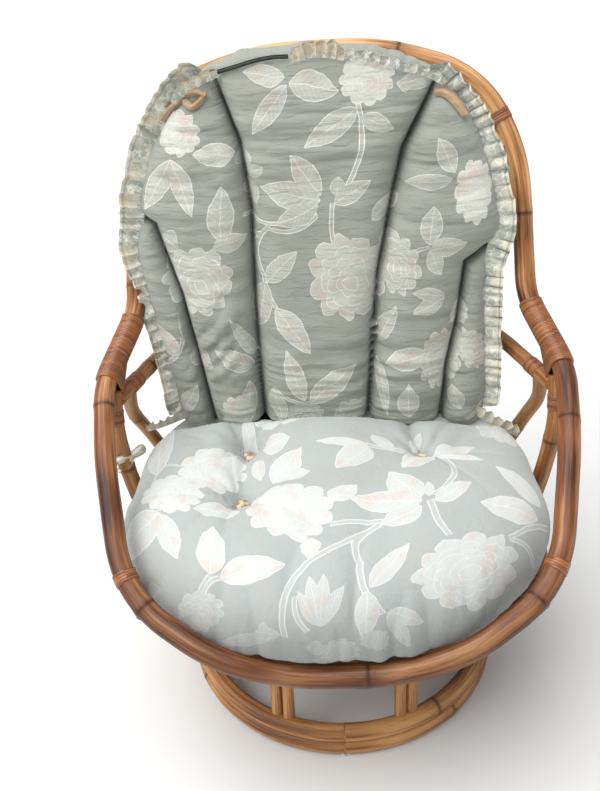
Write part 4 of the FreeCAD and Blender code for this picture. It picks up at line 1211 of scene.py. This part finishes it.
def rim_line(corners, forward=0.020, inset=0.012):
    """A line just inside the back cushion's outline, on its front edge, and its outward directions."""
    flat = eased(resample(np.array([(x, 0, z) for x, z in mm(corners)]), CLOTH_STEP), 400)
    outward = np.cross(unit_rows(np.gradient(flat, axis=0)), np.array([0.0, 1.0, 0.0]))
    outward *= np.sign(np.sum((flat - np.array([BACK_X, 0, BACK_Z])) * outward, 1).mean())
    line = flat - outward * inset
    line[:, 1] = table(FRONT_FACE, line[:, 2]) + forward
    return line, outward + (0, -0.35, 0)


# Name, corners (x, z) in millimetres, cloth, heights and the widths there, length laid flat, seed.
for name, corners, cloth, levels, widths, length, seed in (
    ("frill_left", [(-284, 455), (-296, 560), (-312, 660), (-325, 760), (-310, 840), (-282, 920), (-232, 990),
     (-186, 1026)], left_cloth, (0.66, 0.75, 0.84, 0.90), (0.024, 0.038, 0.042, 0.050), 0.75, 1.0),
    ("frill_right", [(278, 455), (274, 560), (270, 660), (271, 722), (290, 775), (277, 840), (250, 924),
     (208, 990), (172, 1018)], right_cloth, (0.70, 0.76), (0.032, 0.038), 0.66, 2.0),
):
    line, outward = rim_line(corners)
    width = np.interp(line[:, 2], levels, widths)
    cloth_strip(name, line, outward, width, 0.021, 0.0062, cloth, seed)

# --- buttons -----------------------------------------------------------------------------------

# (radius, height) pairs from the foot of a button to its top.
BUTTON_SHAPE = (
    (0.0080, -0.004), (0.0114, -0.001), (0.0122, 0.0024), (0.0108, 0.0052), (0.0072, 0.0072), (0.0025, 0.0080),
)
BUTTON_LEANS = ((0.05, -0.25, 1), (-0.15, -0.1, 1), (0.1, -0.2, 1))


def bead_lathe(name, place, up, material, sides=28):
    """A covered button that stands on a place."""
    spin = Vector((0, 0, 1)).rotation_difference(Vector(up)).to_matrix()
    points = []
    for radius, height in BUTTON_SHAPE:
        for a in ring_angles(sides):
            ripple = 1 + 0.03 * math.sin(a * 9) * (radius > 0.006)
            p = spin @ Vector((radius * math.cos(a) * ripple, radius * math.sin(a) * ripple, height))
            points.append(p + Vector(place))
    obj = new_mesh(name, points, tube_faces(len(BUTTON_SHAPE), sides), material)
    mod = obj.modifiers.new("smooth", "SUBSURF")
    mod.levels = mod.render_levels = 1
    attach(obj, "seat")
    return obj


def button_cloth():
    net = Net("button_cloth")
    weave = net.place().scale(1400, 1400, 1400).noise(1.0, 2)
    worn = net.place().noise(120, 2)
    base = net.mix(worn.step(0.42, 0.62), colour(150, 124, 98), colour(206, 198, 180))
    base = net.mix(weave.step(0.3, 0.5), net.mix(0.35, base, BLACK), base)
    return net.finish(Base_Color=base, Roughness=0.85, Sheen_Weight=0.2, Normal=net.bump(weave, 0.0004, 0.8))


def make_buttons():
    """Covered buttons pulled down into the dimples."""
    covered = button_cloth()
    co = np.array([v.co for v in seat_pad.data.vertices])
    for k, ((bx, by), lean) in enumerate(zip(BUTTONS, BUTTON_LEANS)):
        away = np.hypot(co[:, 0] - bx, co[:, 1] - by) + np.where(co[:, 2] > 0.40, 0, 9)
        level = co[np.argsort(away)[:12], 2].mean() + 0.006
        bead_lathe(f"button_{k + 1}", (bx, by, level), lean, covered)
    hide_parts("seat_buttons")


make_buttons()

# --- ties, tuft, ruffles and bow ---------------------------------------------------------------

pad_points = np.array([v.co for v in back_pad.data.vertices])


def on_pad(point, gap=0.003):
    """A point just in front of the back cushion, from its x and z; a point with a depth stays."""
    if len(point) == 3:
        return point
    away = np.hypot(pad_points[:, 0] - point[0], pad_points[:, 2] - point[1])
    near = pad_points[away < max(0.008, away.min() + 0.002)]
    return (point[0], near[:, 1].min() - gap, point[1])


# Name, points as (x, z) or (x, y, z) in millimetres, width, cloth, seed, size laid flat.
TIES = (
    ("tie_top_left", [(-264, 958), (-247, 976), (-231, 988), (-214, 1001), (-197, 1003), (-183, 997)],
     0.012, tan_cloth, 1.0, (0.013, 0.105)),
    ("tie_top_left_end", [(-218, 992), (-206, 984), (-193, 991), (-182, 1003)],
     0.011, tan_cloth, 2.0, (0.013, 0.045)),
    ("tie_top_right", [(176, 984), (189, 985), (200, 979), (212, 967), (224, 952)],
     0.014, tan_cloth, 3.0, (0.015, 0.070)),
    # A dark strip of painted shade along the top left edge.
    ("shade_strip_top", [(-216, 1003), (-206, 1014), (-183, 1022), (-156, 1030), (-127, 1038), (-102, 1044),
     (-75, 1047), (-50, 1047)], 0.0065, shade_strip_cloth, 4.0, (0.010, 0.18)),
    ("bow_left_knot", [(-346, 8, 448), (-352, 0, 444), (-358, 6, 438)], 0.013, cream_cloth, 5.0, (0.014, 0.025)),
    ("bow_left_loop", [(-352, 4, 443), (-340, -6, 458), (-330, -4, 466), (-334, 6, 452), (-352, 6, 442)],
     0.014, cream_cloth, 6.0, (0.015, 0.080)),
    ("bow_left_loop_out", [(-352, 4, 443), (-366, -10, 447), (-379, -6, 440), (-372, 6, 433), (-352, 6, 442)],
     0.014, cream_cloth, 7.0, (0.015, 0.080)),
    ("bow_left_tail", [(-352, 2, 442), (-362, -6, 430), (-372, -4, 420), (-380, 0, 413)],
     0.013, cream_cloth, 8.0, (0.014, 0.048)),
)
# Name, points, width, pitch and height of the gathers, cloth, seed, size laid flat.
RUFFLES = (
    ("tuft_top", [(-46, 1038), (-20, 1044), (12, 1043), (34, 1038)],
     0.026, 0.019, 0.006, pink_cloth, 3.0, (0.030, 0.12)),
    ("frill_top", [(30, 1042), (77, 1034), (123, 1020), (162, 1008), (190, 992)],
     0.015, 0.017, 0.005, right_cloth, 4.0, (0.018, 0.20)),
    ("frill_corner", [(-232, 985), (-214, 1000), (-188, 1012), (-160, 1022)],
     0.017, 0.018, 0.006, left_cloth, 5.0, (0.020, 0.09)),
    ("ruffle_rear_left", [(-255, 96, 462), (-288, 82, 456), (-312, 76, 450), (-336, 82, 440)],
     0.020, 0.016, 0.005, cream_cloth, 9.0, (0.022, 0.105)),
    ("ruffle_rear_right", [(245, 96, 446), (276, 82, 432), (300, 76, 420), (322, 80, 404)],
     0.022, 0.016, 0.005, cream_cloth, 10.0, (0.024, 0.105)),
)
for name, points, width, cloth, seed, flat in TIES:
    ribbon(name, [on_pad(p) for p in mm(points)], width, cloth, seed)
for name, points, width, pitch, height, cloth, seed, flat in RUFFLES:
    line = eased(resample(np.array([on_pad(p) for p in mm(points)], float), CLOTH_STEP), 60)
    outward = np.array([0.0, -0.25, 1.0]) + np.zeros_like(line)
    cloth_strip(name, line, outward, width, pitch, height, cloth, seed)

# --- camera, floor and light -------------------------------------------------------------------


def place_camera():
    yaw, pitch, roll = (math.radians(v) for v in (-2.72, 32.46, -3.54))
    ahead = Vector((math.sin(yaw) * math.cos(pitch), math.cos(yaw) * math.cos(pitch), -math.sin(pitch)))
    right = Vector((math.cos(yaw), -math.sin(yaw), 0))
    up = right.cross(ahead)
    x_axis = right * math.cos(roll) + up * math.sin(roll)
    y_axis = up * math.cos(roll) - right * math.sin(roll)
    camera = link("camera", bpy.data.cameras.new("camera"))
    camera.matrix_world = Matrix((x_axis, y_axis, -ahead)).transposed().to_4x4()
    camera.matrix_world.translation = (0.0049, -1.249, 1.3529)
    camera.data.sensor_width = 36.0
    camera.data.lens = 41.04
    bpy.context.scene.camera = camera


def light(name, kind, energy, tone, towards):
    made = link(name, bpy.data.lights.new(name, kind))
    made.data.energy = energy
    made.data.color = tone
    made.rotation_euler = Vector(towards).to_track_quat("-Z", "Y").to_euler()
    return made


def make_room():
    """A white floor, a pale sky, a broad sun from above and a weak lamp at the left."""
    net = Net("floor_paper")
    base = net.mix(net.place().noise(3.0, 3), colour(212, 212, 211), colour(218, 218, 217))
    paper = net.finish(Base_Color=base, Roughness=0.9)
    points = [(-60, -60, 0), (60, -60, 0), (60, 60, 0), (-60, 60, 0)]
    new_mesh("floor", points, [(0, 1, 2, 3)], paper, smooth=False)
    world = bpy.data.worlds.new("studio")
    world.use_nodes = True
    background = world.node_tree.nodes["Background"]
    background.inputs[0].default_value = (0.95, 0.97, 1.0, 1.0)
    background.inputs[1].default_value = 0.58
    bpy.context.scene.world = world
    sky = light("sky", "SUN", 3.55, (1.0, 0.99, 0.97), (0.36, 0.16, -1))
    sky.data.angle = math.radians(60)
    place, aim = Vector((-2.4, -1.6, 1.9)), Vector((0, 0, 0.5))
    side = light("side", "AREA", 14, (1, 0.97, 0.93), aim - place)
    side.data.shape, side.data.size, side.location = "DISK", 1.6, place
    bpy.context.scene.view_settings.view_transform = "Standard"


place_camera()
make_room()
